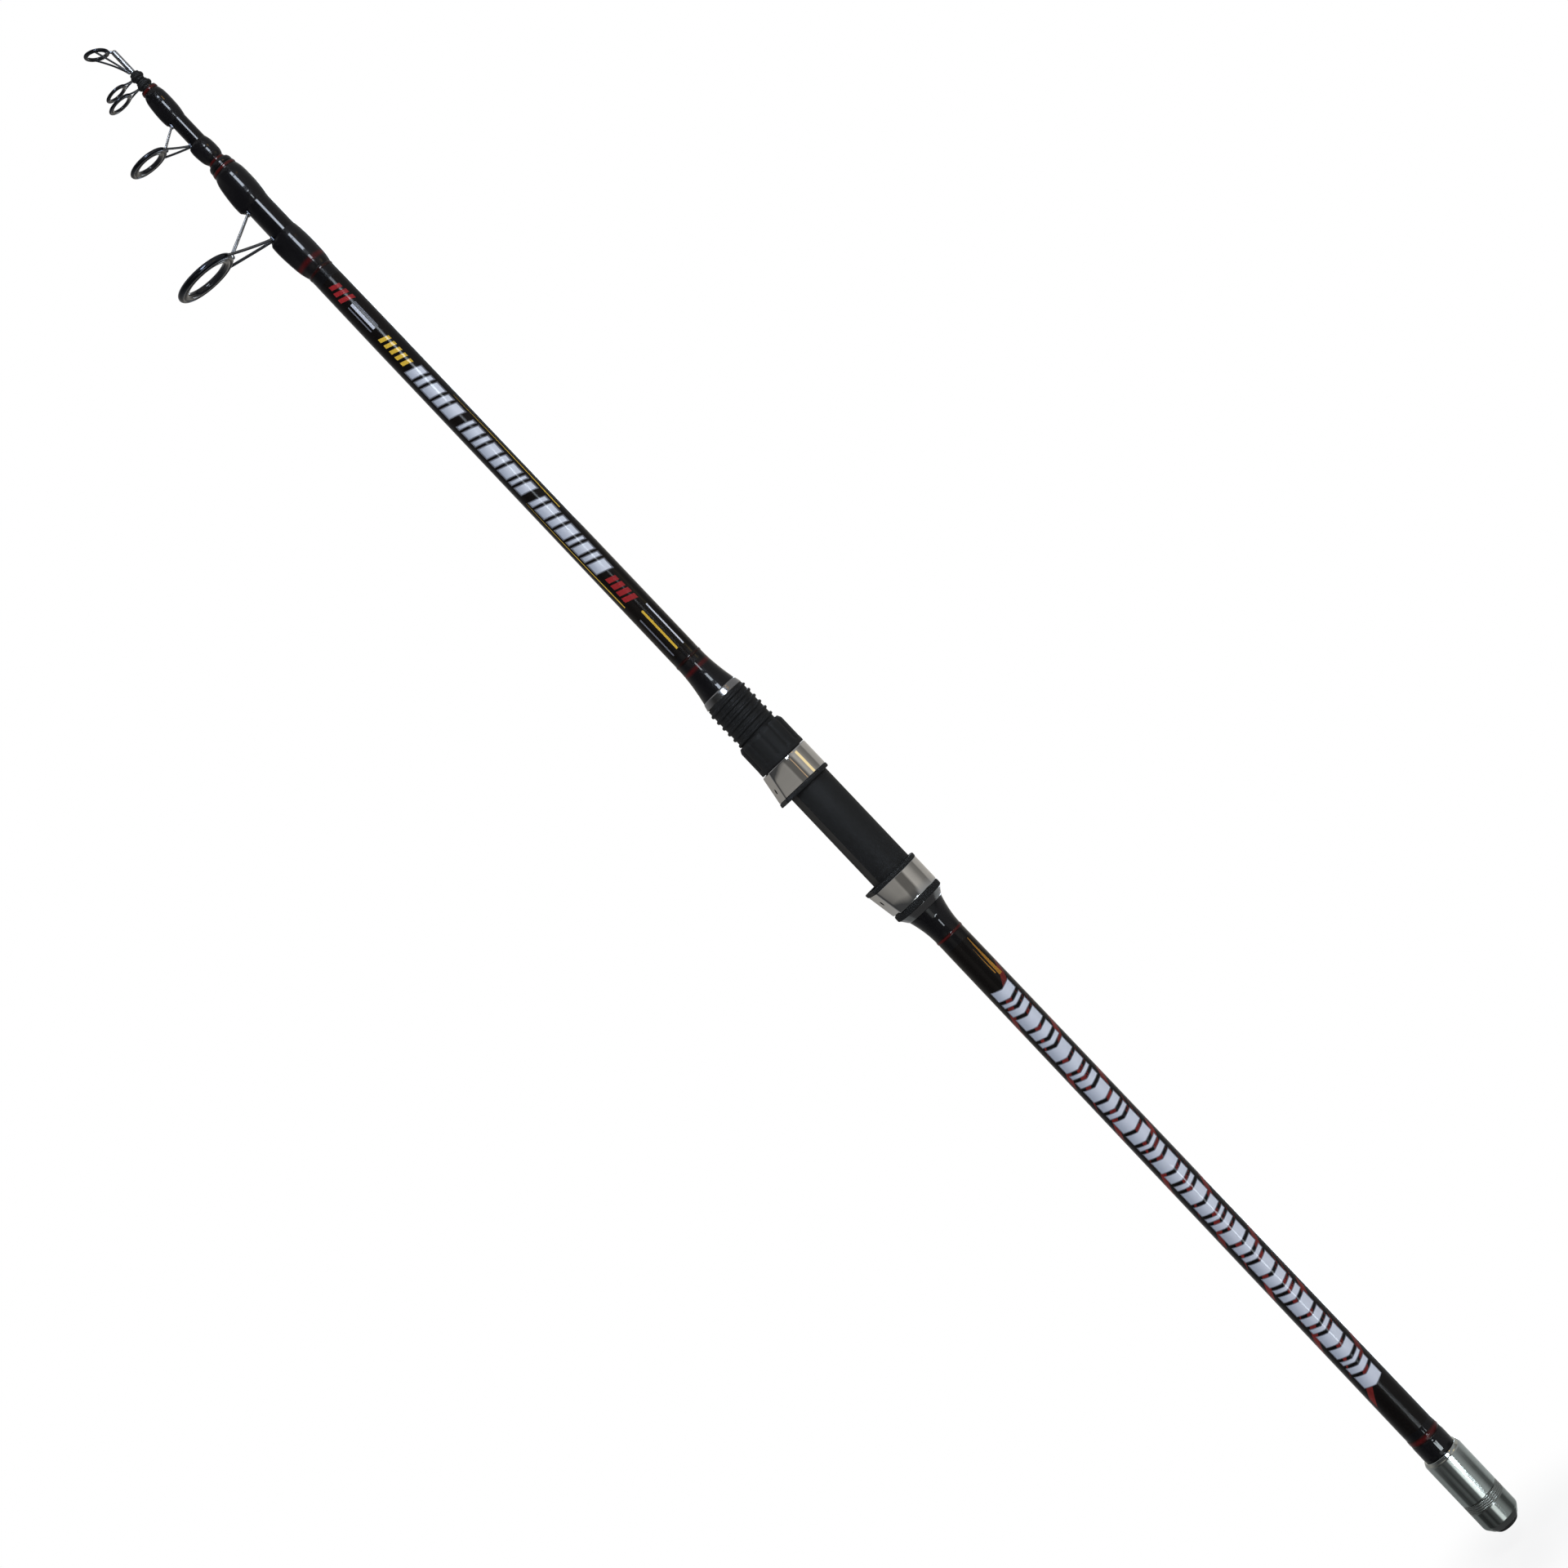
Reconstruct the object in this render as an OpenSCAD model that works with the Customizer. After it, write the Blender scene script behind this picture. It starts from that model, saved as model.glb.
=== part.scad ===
// Telescopic fishing rod, closed, with a screw-down reel seat and ring guides.
// The rod stands on its butt: +Z runs up the rod to the tip, and the reel and the guides face -X.
// Each section is a tapered tube that slides out of the one behind it until the tapers wedge.

/* [Butt section] */
// Length of the butt blank
butt_len = 706; // [640:1:760]
// Outer radius of the butt blank at its rear end
butt_r_rear = 6.87; // [6.6:0.01:7.2]
// Outer radius of the butt blank at the rear of the reel seat
butt_r_seat = 6.1; // [5.9:0.01:6.3]
// Outer radius of the butt blank ahead of the reel seat, before its last taper
butt_r_fore = 5.64; // [5.5:0.01:5.8]
// Length of the last taper at the front of the butt blank
butt_taper_len = 89; // [70:1:110]
// Outer radius of the butt blank at its front end
butt_r_front = 5.2; // [5.1:0.01:5.4]
// Bore radius of the butt blank at its rear end
butt_bore_rear = 5.5; // [5.2:0.01:5.7]

/* [Mid section] */
// Length of the mid blank
mid_len = 537.3; // [480:0.1:580]
// Length of the mid blank that stands out of the butt section when closed
mid_show = 42.3; // [40:0.1:50]
// Length of the mid blank that stays in the butt section when drawn out
mid_overlap = 65; // [50:1:90]
// Outer radius of the mid blank at its rear end
mid_r_rear = 4.25; // [4.1:0.01:4.3]
// Outer radius of the mid blank at its front end
mid_r_front = 3.38; // [3.3:0.01:3.5]
// Bore radius of the mid blank at its rear end
mid_bore_rear = 3.35; // [3.1:0.01:3.5]

/* [Tip section] */
// Length of the tip blank
tip_len = 490.4; // [430:0.1:520]
// Length of the tip blank that stands out of the mid section when closed
tip_show = 18; // [17:0.1:19]
// Length of the tip blank that stays in the mid section when drawn out
tip_overlap = 50; // [40:1:70]
// Radius of the tip blank at its rear end
tip_r_rear = 2.6; // [2.5:0.01:2.7]
// Radius of the tip blank at its front end
tip_r_front = 0.72; // [0.6:0.01:0.8]

/* [Butt end] */
// Outer radius of the steel sleeve on the butt
sleeve_r = 8.45; // [8.2:0.01:8.8]
// Length of the steel sleeve
sleeve_len = 22.1; // [20:0.1:28]
// Length of the chamfer at the front of the sleeve
sleeve_chamfer = 1.4; // [0.8:0.1:2]
// Radius of the threaded bore in the rear of the sleeve
sleeve_bore_r = 6; // [5.6:0.01:6.3]
// Depth of the threaded bore, where the blank ends
sleeve_bore_len = 6.1; // [5.8:0.1:8]
// Length of the end cap, from the end pad's seat to the sleeve
cap_len = 14.8; // [12:0.1:17]
// Length of the chamfer at the rear of the end cap
cap_chamfer_len = 2.7; // [2:0.1:3.2]
// Radius of the end pad where it leaves the end cap
pad_r = 6.3; // [5.8:0.01:6.8]
// Radius of the end pad's flat rear face
pad_face_r = 4.7; // [4:0.01:5.4]
// How far the end pad stands out of the end cap
pad_len = 1.9; // [1.4:0.1:2.6]
// Depth of the end pad's seat in the end cap
pad_seat = 1.5; // [1:0.1:2]
// Number of grip grooves round the end cap
groove_count = 5; // [3:1:5]
// Distance from one grip groove to the next
groove_pitch = 0.9; // [0.7:0.05:1]
// Depth of a grip groove
groove_depth = 0.25; // [0.15:0.01:0.35]
// Length of the end cap's spigot in the sleeve
spigot_len = 5.1; // [4:0.1:5.5]
// Wall of the end cap's spigot
spigot_wall = 1.5; // [1:0.1:2]
// Thickness of the cushion inside the end cap
cushion_len = 4; // [3:0.1:5]
// Length of the glossy winding in front of the sleeve
butt_wrap_len = 8.1; // [6:0.1:10]
// Thickness of the glossy winding in front of the sleeve
butt_wrap_wall = 0.12; // [0.08:0.01:0.2]

/* [Reel seat] */
// Height of the rear end of the seat's barrel above the butt end
seat_z = 333.6; // [320:0.1:345]
// Outer radius of the barrel
barrel_r = 9.56; // [9.5:0.01:9.65]
// Bore radius of the barrel
barrel_bore_r = 7.4; // [7.2:0.01:7.6]
// Distance of the reel bed's flat from the rod's centre line
bed_h = 7.63; // [7.55:0.01:7.8]
// Length of each arbor between the blank and the barrel
arbor_len = 18; // [12:0.5:22]
// Number of arbors
arbor_count = 3; // [2:1:4]
// Crest radius of the seat's thread
thread_crest_r = 9.4; // [9.3:0.01:9.45]
// Root radius of the seat's thread
thread_root_r = 8.7; // [8.5:0.01:8.9]
// Pitch of the seat's thread
thread_pitch = 3.1; // [2.5:0.1:4]
// Width of the keyway at the back of the barrel
keyway_w = 3.2; // [2.6:0.1:3.6]
// Depth of the keyway
keyway_depth = 1.3; // [1.1:0.05:1.5]
// Height of the sliding hood's key
key_h = 0.9; // [0.6:0.05:1]
// Length of a silver trim ring
trim_len = 3.1; // [2.5:0.1:4]
// Radius of the rear trim ring at the seat
rear_trim_r = 10.7; // [10:0.05:11]
// Radius of the front trim ring at the seat
front_trim_r = 8.8; // [8.6:0.05:9.2]
// Radius of the rear flare at its trim ring
rear_flare_r = 8.3; // [7.8:0.05:8.8]
// Radius of the front flare at its trim ring
front_flare_r = 7.9; // [7.7:0.05:8.2]
// Length of the rear flare
rear_flare_len = 12.7; // [10:0.1:16]
// Length of the front flare
front_flare_len = 16.5; // [13:0.1:20]
// Thickness of a flare at its thin end
flare_lip = 0.25; // [0.15:0.01:0.4]
// Radius of the black flange behind the fixed hood
flange_r = 11.25; // [11.2:0.01:11.6]
// Length of the flange
flange_len = 2.8; // [2:0.1:3.5]

/* [Hoods and nut] */
// Outer radius of the fixed hood
fixed_hood_r = 11.2; // [11.1:0.01:11.5]
// Outer radius of the sliding hood
sliding_hood_r = 10.85; // [10.8:0.01:11.1]
// Length of a hood's chrome shell
hood_len = 11.9; // [10:0.1:14]
// Thickness of a hood's chrome shell
shell_t = 0.5; // [0.4:0.01:0.6]
// Length of the black rim at a hood's mouth
rim_len = 1.9; // [1.5:0.1:2.5]
// How far a rim stands out past its chrome shell
rim_proud = 0.2; // [0.1:0.01:0.3]
// Width of a hood's pocket for the reel foot, outside
pocket_w = 14; // [13:0.1:15]
// Distance of a pocket's roof from the centre line at the mouth, outside
pocket_mouth_h = 12.4; // [12.2:0.01:12.8]
// Distance of a pocket's roof from the centre line at its closed end, outside
pocket_end_h = 10; // [9.8:0.01:10.2]
// Wall of the liner over the pocket
liner_t = 0.45; // [0.35:0.01:0.5]
// Distance between the rims of the two hoods as the sliding hood stands
hood_gap = 47; // [44:0.1:52]
// Travel of the sliding hood towards the fixed hood
hood_back = 10; // [6:0.5:12]
// Travel of the sliding hood away from the fixed hood
hood_ahead = 18; // [10:0.5:18]
// Thread left ahead of the lock nut when it is run right out
nut_stop = 1.4; // [1:0.1:2.4]
// Length of the lock nut
nut_len = 14; // [12:0.1:14]
// Outer radius of the lock nut
nut_r = 10.8; // [10.7:0.01:11]
// Length of the cone at the front of the lock nut
nut_cone_len = 1.6; // [1:0.1:2.2]
// Wall of the lock nut at the front of its cone
nut_lip = 0.4; // [0.3:0.05:0.8]
// Number of flutes round the lock nut
flute_count = 12; // [8:1:14]
// Radius of a flute
flute_r = 2.2; // [1.5:0.1:2.4]
// Depth of a flute
flute_depth = 0.4; // [0.25:0.01:0.5]

/* [Large guide] */
// Distance of the large ring's centre from the rod's centre line
g1_h = 35.2; // [33:0.1:38]
// Outer radius of the large ring's frame
g1_r = 13.5; // [13:0.05:14]
// Bore radius of the large ring
g1_bore_r = 8.9; // [8.5:0.05:9.3]
// Length of the large ring along the rod
g1_ring_len = 3.4; // [3:0.1:3.8]
// Distance of the large ring behind the front of the butt blank
g1_back = 28.9; // [27.5:0.1:30.5]
// Distance from the large ring back to its rear winding
g1_reach_rear = 6.1; // [5.5:0.1:7]
// Distance from the large ring on to its front winding
g1_reach_front = 9.6; // [9:0.1:10.2]
// Forward lean of the large ring
g1_lean = 1.5; // [0:0.5:6]
// Length of the large guide's front winding
g1_front_wrap = 17.5; // [15:0.1:17.7]
// Length of the large guide's rear winding
g1_rear_wrap = 20; // [17:0.1:22]
// Height of the large guide's windings over its feet
g1_bump = 2.3; // [1.6:0.05:2.6]
// Width of the large guide's feet
g1_foot_w = 3.4; // [3:0.1:3.8]
// Length of the large guide's feet
g1_foot_len = 9.5; // [8:0.1:10]
// Radius of the large guide's rear legs
g1_leg_r = 0.6; // [0.5:0.01:0.7]
// Radius of the large guide's front legs
g1_prong_r = 0.42; // [0.35:0.01:0.5]

/* [Medium guide] */
// Distance of the medium ring's centre from the rod's centre line
g2_h = 20.3; // [19:0.1:22]
// Outer radius of the medium ring's frame
g2_r = 8.75; // [8.3:0.05:9.2]
// Bore radius of the medium ring
g2_bore_r = 4.95; // [4.7:0.05:5.2]
// Length of the medium ring along the rod
g2_ring_len = 2.2; // [2:0.1:2.6]
// Distance of the medium ring behind the front of the mid blank
g2_back = 22.6; // [21.8:0.1:23.4]
// Distance from the medium ring back to its rear winding
g2_reach_rear = 5.8; // [5.2:0.1:6.4]
// Distance from the medium ring on to its front winding
g2_reach_front = 6; // [5.6:0.1:6.4]
// Forward lean of the medium ring
g2_lean = 3; // [0:0.5:6]
// Length of the medium guide's front winding
g2_front_wrap = 14.8; // [12:0.1:14.9]
// Height of the medium guide's windings over its feet
g2_bump = 1.35; // [1.2:0.05:1.6]
// Width of the medium guide's feet
g2_foot_w = 2.4; // [2.2:0.1:2.8]
// Length of the medium guide's feet
g2_foot_len = 5; // [4:0.1:5.2]
// Radius of the medium guide's rear legs
g2_leg_r = 0.45; // [0.4:0.01:0.55]
// Radius of the medium guide's front legs
g2_prong_r = 0.35; // [0.3:0.01:0.42]
// Outer radius of the stop collar behind the medium guide
collar_r = 5.05; // [4.9:0.01:5.2]
// Length of the stop collar
collar_len = 2.4; // [2:0.1:2.6]

/* [Windings] */
// Thickness of a guide's foot
foot_t = 0.8; // [0.6:0.05:0.9]
// Thickness of a winding away from the foot
wrap_t = 0.85; // [0.7:0.01:1]
// Thickness of a winding at its feathered end
wrap_end_t = 0.3; // [0.2:0.01:0.4]
// Width of a red trim band
band_w = 1.5; // [1:0.1:2]
// Thickness of a red trim band
band_t = 0.2; // [0.1:0.01:0.3]

/* [Runner guides] */
// Distance of the rear runner's ring centre from the centre line
rr_h = 12.3; // [11.8:0.1:13]
// Outer radius of the rear runner's ring frame
rr_r = 5.7; // [5.4:0.05:5.9]
// Bore radius of the rear runner's ring
rr_bore_r = 3.55; // [3.4:0.05:3.7]
// Distance of the front runner's ring centre from the centre line
rf_h = 10.6; // [10.2:0.1:11.2]
// Outer radius of the front runner's ring frame
rf_r = 5; // [4.8:0.05:5.2]
// Bore radius of the front runner's ring
rf_bore_r = 3.2; // [3.1:0.05:3.3]
// Length of a runner's ring along the rod
run_ring_len = 1.3; // [1.1:0.05:1.5]
// Length of a runner's collar
run_collar_len = 4; // [3.5:0.1:4.2]
// Outer radius of the rear runner's collar bead
rr_bead_r = 3.2; // [3:0.05:3.4]
// Outer radius of the front runner's collar bead
rf_bead_r = 2.85; // [2.6:0.05:3]
// Radius of a runner's legs
run_leg_r = 0.38; // [0.34:0.01:0.42]
// How far the rear runner stands ahead of the mid section when drawn out
rr_out = 146; // [130:1:160]
// How far the front runner stands ahead of its closed place when drawn out
rf_out = 283; // [260:1:300]

/* [Tip ring] */
// Distance of the tip ring's centre from the centre line
tr_h = 5.7; // [5.5:0.05:6]
// Outer radius of the tip ring's frame
tr_r = 5.1; // [4.9:0.05:5.3]
// Bore radius of the tip ring
tr_bore_r = 3.3; // [3.1:0.05:3.4]
// Length of the tip ring along its own centre line
tr_ring_len = 1.5; // [1.3:0.05:1.7]
// Forward lean of the tip ring
tr_lean = 27; // [20:1:32]
// Outer radius of the tip ring's tube
tr_tube_r = 1.15; // [1.05:0.01:1.25]
// Length of the tip ring's tube
tr_tube_len = 11.8; // [10:0.1:13]
// Radius of the tip ring's braces
tr_brace_r = 0.4; // [0.35:0.01:0.45]

/* [Fits] */
// Gap of a glued joint
glue = 0.02; // [0.01:0.01:0.04]
// Gap between a hood's shell and its liner
liner_fit = 0.05; // [0.03:0.01:0.08]
// Radial gap of a running fit
run_fit = 0.08; // [0.05:0.01:0.1]
// Radial gap between wedged sections
wedge_gap = 0.05; // [0.03:0.01:0.08]
// Gap between faces of pieces that part or turn
face_gap = 0.2; // [0.15:0.05:0.3]

/* [Hidden] */
$fn = 64;

// Colours
black_gloss = "#141416";
black_matt = "#262729";
steel = "#b9b6ad";
gunmetal = "#4a4d52";
red = "#8c1c14";
ceramic = "#1d2026";

// Heights up the rod
cap_z0 = pad_len;
cap_z1 = cap_z0 + cap_len;
sleeve_z0 = cap_z1 + face_gap;
sleeve_z1 = sleeve_z0 + sleeve_len;
butt_z0 = sleeve_z0 + sleeve_bore_len;
butt_z1 = butt_z0 + butt_len;
butt_taper_z = butt_z1 - butt_taper_len;
mid_z1 = butt_z1 + mid_show;
mid_z0 = mid_z1 - mid_len;
tip_z1 = mid_z1 + tip_show;
tip_z0 = tip_z1 - tip_len;
tip_travel = mid_z1 - tip_overlap - tip_z0;

fixed_hood_z = seat_z + flange_len;
fixed_mouth_z = fixed_hood_z + hood_len + rim_len;
sliding_mouth_z = fixed_mouth_z + hood_gap;
sliding_hood_z = sliding_mouth_z + rim_len + hood_len;
nut_z = sliding_hood_z + face_gap;
thread_z = nut_z - hood_back - face_gap;
seat_z1 = nut_z + nut_len + hood_ahead + nut_stop;

g1_z = butt_z1 - g1_back;
g2_z = mid_z1 - g2_back;
g1_wrap_front = g1_z + g1_reach_front;
g1_wrap_rear = g1_z - g1_reach_rear;
g2_wrap_front = g2_z + g2_reach_front;
g2_wrap_rear = g2_z - g2_reach_rear;
collar_z = butt_z1 + face_gap;
collar_z1 = collar_z + collar_len;
g2_wrap_start = collar_z1 + band_w + 2 * glue;

rr_z = mid_z1 + face_gap;
rf_z = rr_z + run_collar_len + face_gap;
tube_z = rf_z + run_collar_len + face_gap;
tube_z1 = tube_z + tr_tube_len;
tr_z = tube_z1 + tr_r * sin(tr_lean) + tr_brace_r;

// Radius part of the way along a straight taper
function taper(z, za, ra, zb, rb) = ra + (rb - ra) * (z - za) / (zb - za);

// Outer radius of each blank at a height
function butt_r(z) = z < seat_z ? taper(z, butt_z0, butt_r_rear, seat_z, butt_r_seat)
    : z < butt_taper_z ? taper(z, seat_z, butt_r_seat, butt_taper_z, butt_r_fore)
    : taper(z, butt_taper_z, butt_r_fore, butt_z1, butt_r_front);
function mid_r(z) = taper(z, mid_z0, mid_r_rear, mid_z1, mid_r_front);
function tip_r(z) = taper(z, tip_z0, tip_r_rear, tip_z1, tip_r_front);

// Bores that the sections' rear ends wedge in when drawn out
butt_wedge_z = butt_z1 - mid_overlap;
butt_wedge_r = mid_r_rear + wedge_gap;
butt_mouth_r = mid_r(mid_z0 + mid_overlap) + wedge_gap;
mid_wedge_z = mid_z1 - tip_overlap;
mid_wedge_r = tip_r_rear + wedge_gap;
mid_mouth_r = tip_r(tip_z0 + tip_overlap) + wedge_gap;
bore_ease = 0.3;
ease_len = 20;

// Bores of the runners, which wedge on the tip's taper
rr_bore = tip_r(rr_z + rr_out - tip_travel) + wedge_gap;
rf_bore = tip_r(rf_z + rf_out - tip_travel) + wedge_gap;

// Rings: how much of the ring's wall is frame, how deep its groove for the insert is,
// how much of its length each bevel takes, and how far the insert stands out of it
frame_share = 0.42;
groove_share = 0.2;
bevel_share = 0.2;
insert_proud = 0.1;

// How far a cutting shape runs past what it cuts
past = 1;

// The reel and guide side of the rod
module to_reel_side() {
    rotate([0, 0, 180]) children();
}

// A ring of revolution from a list of [radius, height] points
module turned(points) {
    rotate_extrude() polygon(points);
}

// A plain sleeve
module tube(z0, z1, r_in, r_out) {
    translate([0, 0, z0]) difference() {
        cylinder(h = z1 - z0, r = r_out);
        translate([0, 0, -past]) cylinder(h = z1 - z0 + 2 * past, r = r_in);
    }
}

// The outside of each blank, grown for a glued bore
module butt_core(grow) {
    turned([
        [0, butt_z0 - past], [butt_r_rear + grow, butt_z0 - past], [butt_r_rear + grow, butt_z0],
        [butt_r_seat + grow, seat_z], [butt_r_fore + grow, butt_taper_z],
        [butt_r_front + grow, butt_z1], [butt_r_front + grow, butt_z1 + past], [0, butt_z1 + past]
    ]);
}
module mid_core(grow) {
    turned([
        [0, mid_z0 - past], [mid_r_rear + grow, mid_z0 - past], [mid_r_rear + grow, mid_z0],
        [mid_r_front + grow, mid_z1], [mid_r_front + grow, mid_z1 + past], [0, mid_z1 + past]
    ]);
}

// Butt end

module end_pad() {
    color(black_matt) turned([
        [0, 0], [pad_face_r, 0], [pad_r, pad_len], [pad_r - glue, pad_len],
        [pad_r - glue, pad_len + pad_seat - glue], [0, pad_len + pad_seat - glue]
    ]);
}

module cap_cushion() {
    cushion_r = sleeve_bore_r - run_fit - spigot_wall - glue;
    color(black_matt) translate([0, 0, cap_z1 - cushion_len])
        cylinder(h = cushion_len, r = cushion_r);
}

module end_cap() {
    spigot_r = sleeve_bore_r - run_fit;
    groove_z = cap_z1 - groove_pitch * (groove_count - 0.5);
    pad_rim_r = pad_r + face_gap;
    color(steel) difference() {
        turned([
            [0, cap_z0], [pad_rim_r, cap_z0], [sleeve_r, cap_z0 + cap_chamfer_len], [sleeve_r, cap_z1],
            [spigot_r, cap_z1], [spigot_r, cap_z1 + spigot_len], [0, cap_z1 + spigot_len]
        ]);
        translate([0, 0, cap_z0 - past]) cylinder(h = pad_seat + past, r = pad_r);
        translate([0, 0, cap_z1 - cushion_len - glue])
            cylinder(h = cushion_len + spigot_len + past, r = spigot_r - spigot_wall);
        for (i = [0 : groove_count - 1])
            tube(groove_z + i * groove_pitch, groove_z + (i + 0.5) * groove_pitch,
                sleeve_r - groove_depth, sleeve_r + past);
    }
}

module butt_sleeve() {
    lip_r = butt_r(sleeve_z1) + glue;
    color(steel) difference() {
        turned([
            [0, sleeve_z0], [sleeve_r, sleeve_z0], [sleeve_r, sleeve_z1 - sleeve_chamfer],
            [(sleeve_r + lip_r) / 2, sleeve_z1], [0, sleeve_z1]
        ]);
        butt_core(glue);
        translate([0, 0, sleeve_z0 - past]) cylinder(h = sleeve_bore_len + past, r = sleeve_bore_r);
    }
}

module butt_wrap() {
    z0 = sleeve_z1 + glue;
    z1 = z0 + butt_wrap_len;
    color(black_gloss) difference() {
        turned([
            [0, z0], [butt_r(z0) + glue + butt_wrap_wall, z0],
            [butt_r(z1) + glue + butt_wrap_wall, z1], [0, z1]
        ]);
        butt_core(glue);
    }
}

// Butt section

module butt_blank() {
    color(black_gloss) difference() {
        turned([
            [0, butt_z0], [butt_r_rear, butt_z0], [butt_r_seat, seat_z], [butt_r_fore, butt_taper_z],
            [butt_r_front, butt_z1], [0, butt_z1]
        ]);
        turned([
            [0, butt_z0 - past], [butt_bore_rear, butt_z0 - past],
            [butt_wedge_r + bore_ease, butt_wedge_z - ease_len], [butt_wedge_r, butt_wedge_z],
            [butt_mouth_r, butt_z1], [butt_mouth_r, butt_z1 + past], [0, butt_z1 + past]
        ]);
    }
}

// A red band round the butt blank
module butt_band(z, w) {
    difference() {
        turned([
            [0, z], [butt_r(z) + glue + band_t, z], [butt_r(z + w) + glue + band_t, z + w], [0, z + w]
        ]);
        butt_core(glue);
    }
}

module butt_trim_bands() {
    color(red) {
        butt_band(sleeve_z1 + butt_wrap_len + 3 * glue, 2 * band_w);
        butt_band(seat_z - trim_len - rear_flare_len - band_w - glue, band_w);
        butt_band(seat_z1 + trim_len + front_flare_len + glue, band_w);
        butt_band(g1_wrap_rear - g1_rear_wrap - band_w - glue, band_w);
        butt_band(g1_wrap_front + g1_front_wrap + glue, band_w);
    }
}

// Reel seat

// A trumpet whose outside curves in to a thin lip on the blank
module flare(z_lip, z_ring, ring_r) {
    lip_r = butt_r(z_lip) + flare_lip;
    steps = 8;
    color(black_gloss) difference() {
        turned(concat(
            [[0, z_ring], [0, z_lip]],
            [for (i = [0 : steps]) [
                lip_r + (ring_r - lip_r) * pow(i / steps, 1.8), z_lip + (z_ring - z_lip) * i / steps
            ]]
        ));
        butt_core(glue);
    }
}

module rear_flare() {
    flare(seat_z - trim_len - rear_flare_len, seat_z - trim_len - glue, rear_flare_r);
}

module front_flare() {
    flare(seat_z1 + trim_len + front_flare_len, seat_z1 + trim_len + glue, front_flare_r);
}

// A silver cone between a flare and the barrel's end
module trim_ring(z_flare, z_seat, flare_r, seat_r) {
    color(steel) difference() {
        turned([[0, z_flare], [flare_r, z_flare], [seat_r, z_seat], [0, z_seat]]);
        butt_core(glue);
    }
}

module rear_trim_ring() {
    trim_ring(seat_z - trim_len, seat_z - glue, rear_flare_r, rear_trim_r);
}

module front_trim_ring() {
    trim_ring(seat_z1 + trim_len, seat_z1 + glue, front_flare_r, front_trim_r);
}

module rear_flange() {
    color(black_matt) tube(seat_z, seat_z + flange_len - glue, barrel_r + glue, flange_r);
}

module seat_barrel() {
    turns = floor((seat_z1 - thread_z) / thread_pitch);
    run_out = seat_z1 - thread_z - turns * thread_pitch;
    ridges = [for (i = [0 : turns - 1], p = [[0, 0], [0.3, 1], [0.5, 1], [0.8, 0]]) [
        thread_root_r + (thread_crest_r - thread_root_r) * p[1],
        thread_z + run_out / 2 + (i + p[0]) * thread_pitch
    ]];
    color(black_matt) difference() {
        turned(concat(
            [[barrel_bore_r, seat_z], [barrel_r, seat_z], [barrel_r, thread_z], [thread_root_r, thread_z]],
            ridges,
            [[thread_root_r, seat_z1], [barrel_bore_r, seat_z1]]
        ));
        to_reel_side() translate([bed_h, -barrel_r, fixed_hood_z])
            cube([barrel_r, 2 * barrel_r, thread_z - fixed_hood_z]);
        translate([barrel_r - keyway_depth, -keyway_w / 2, fixed_mouth_z])
            cube([2 * keyway_depth, keyway_w, seat_z1 - fixed_mouth_z + past]);
    }
}

module seat_arbors() {
    step = (seat_z1 - seat_z - arbor_len) / (arbor_count - 1);
    color(black_matt) difference() {
        for (i = [0 : arbor_count - 1])
            tube(seat_z + i * step + glue, seat_z + i * step + arbor_len - glue,
                butt_mouth_r, barrel_bore_r - glue);
        butt_core(glue);
    }
}

// Hoods are drawn in their own frame: the mouth at height 0, the closed end above it,
// the pocket on +X

// The outline of a hood: flat sides run from a round body to the pocket's sloping roof
module hood_form(z0, z1, r, inset) {
    mouth_h = pocket_mouth_h - inset;
    slope = (pocket_mouth_h - pocket_end_h) / (hood_len + rim_len);
    z_end = rim_len + hood_len + past;
    intersection() {
        hull() {
            translate([0, 0, -past]) cylinder(h = z_end + past, r = r - inset);
            rotate([90, 0, 0]) linear_extrude(height = pocket_w - 2 * inset, center = true)
                polygon([
                    [0, -past], [mouth_h + slope * past, -past], [mouth_h - slope * z_end, z_end], [0, z_end]
                ]);
        }
        translate([-2 * r, -2 * r, z0]) cube([4 * r, 4 * r, z1 - z0]);
    }
}

// Chrome shell over a liner
module hood_shell(r) {
    color(steel) difference() {
        hood_form(rim_len, rim_len + hood_len, r, 0);
        difference() {
            hood_form(rim_len - past, rim_len + hood_len + past, r, shell_t);
            translate([-2 * r, -2 * r, rim_len + hood_len - shell_t]) cube([4 * r, 4 * r, 2 * past]);
        }
        cylinder(h = rim_len + hood_len + past, r = barrel_r + run_fit);
    }
}

// Black liner whose rim shows at the mouth
module hood_liner(r, bore_r) {
    inner = shell_t + liner_fit;
    top = rim_len + hood_len - inner;
    color(black_matt) difference() {
        union() {
            hood_form(0, top, r, inner);
            hood_form(0, rim_len - glue, r, -rim_proud);
        }
        translate([0, 0, -past]) cylinder(h = rim_len + hood_len + 2 * past, r = bore_r);
        intersection() {
            hood_form(-past, top - liner_t, r, inner + liner_t);
            translate([0, -pocket_w, -past]) cube([2 * r, 2 * pocket_w, rim_len + hood_len]);
        }
    }
}

// Places a hood: the fixed one opens forwards, the sliding one opens to the rear
module at_fixed_hood() {
    translate([0, 0, fixed_mouth_z]) to_reel_side() mirror([0, 0, 1]) children();
}
module at_sliding_hood() {
    translate([0, 0, sliding_mouth_z]) to_reel_side() children();
}

module fixed_hood_shell() {
    at_fixed_hood() hood_shell(fixed_hood_r);
}

module fixed_hood_liner() {
    at_fixed_hood() hood_liner(fixed_hood_r, barrel_r + glue);
}

module sliding_hood_shell() {
    at_sliding_hood() hood_shell(sliding_hood_r);
}

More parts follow.
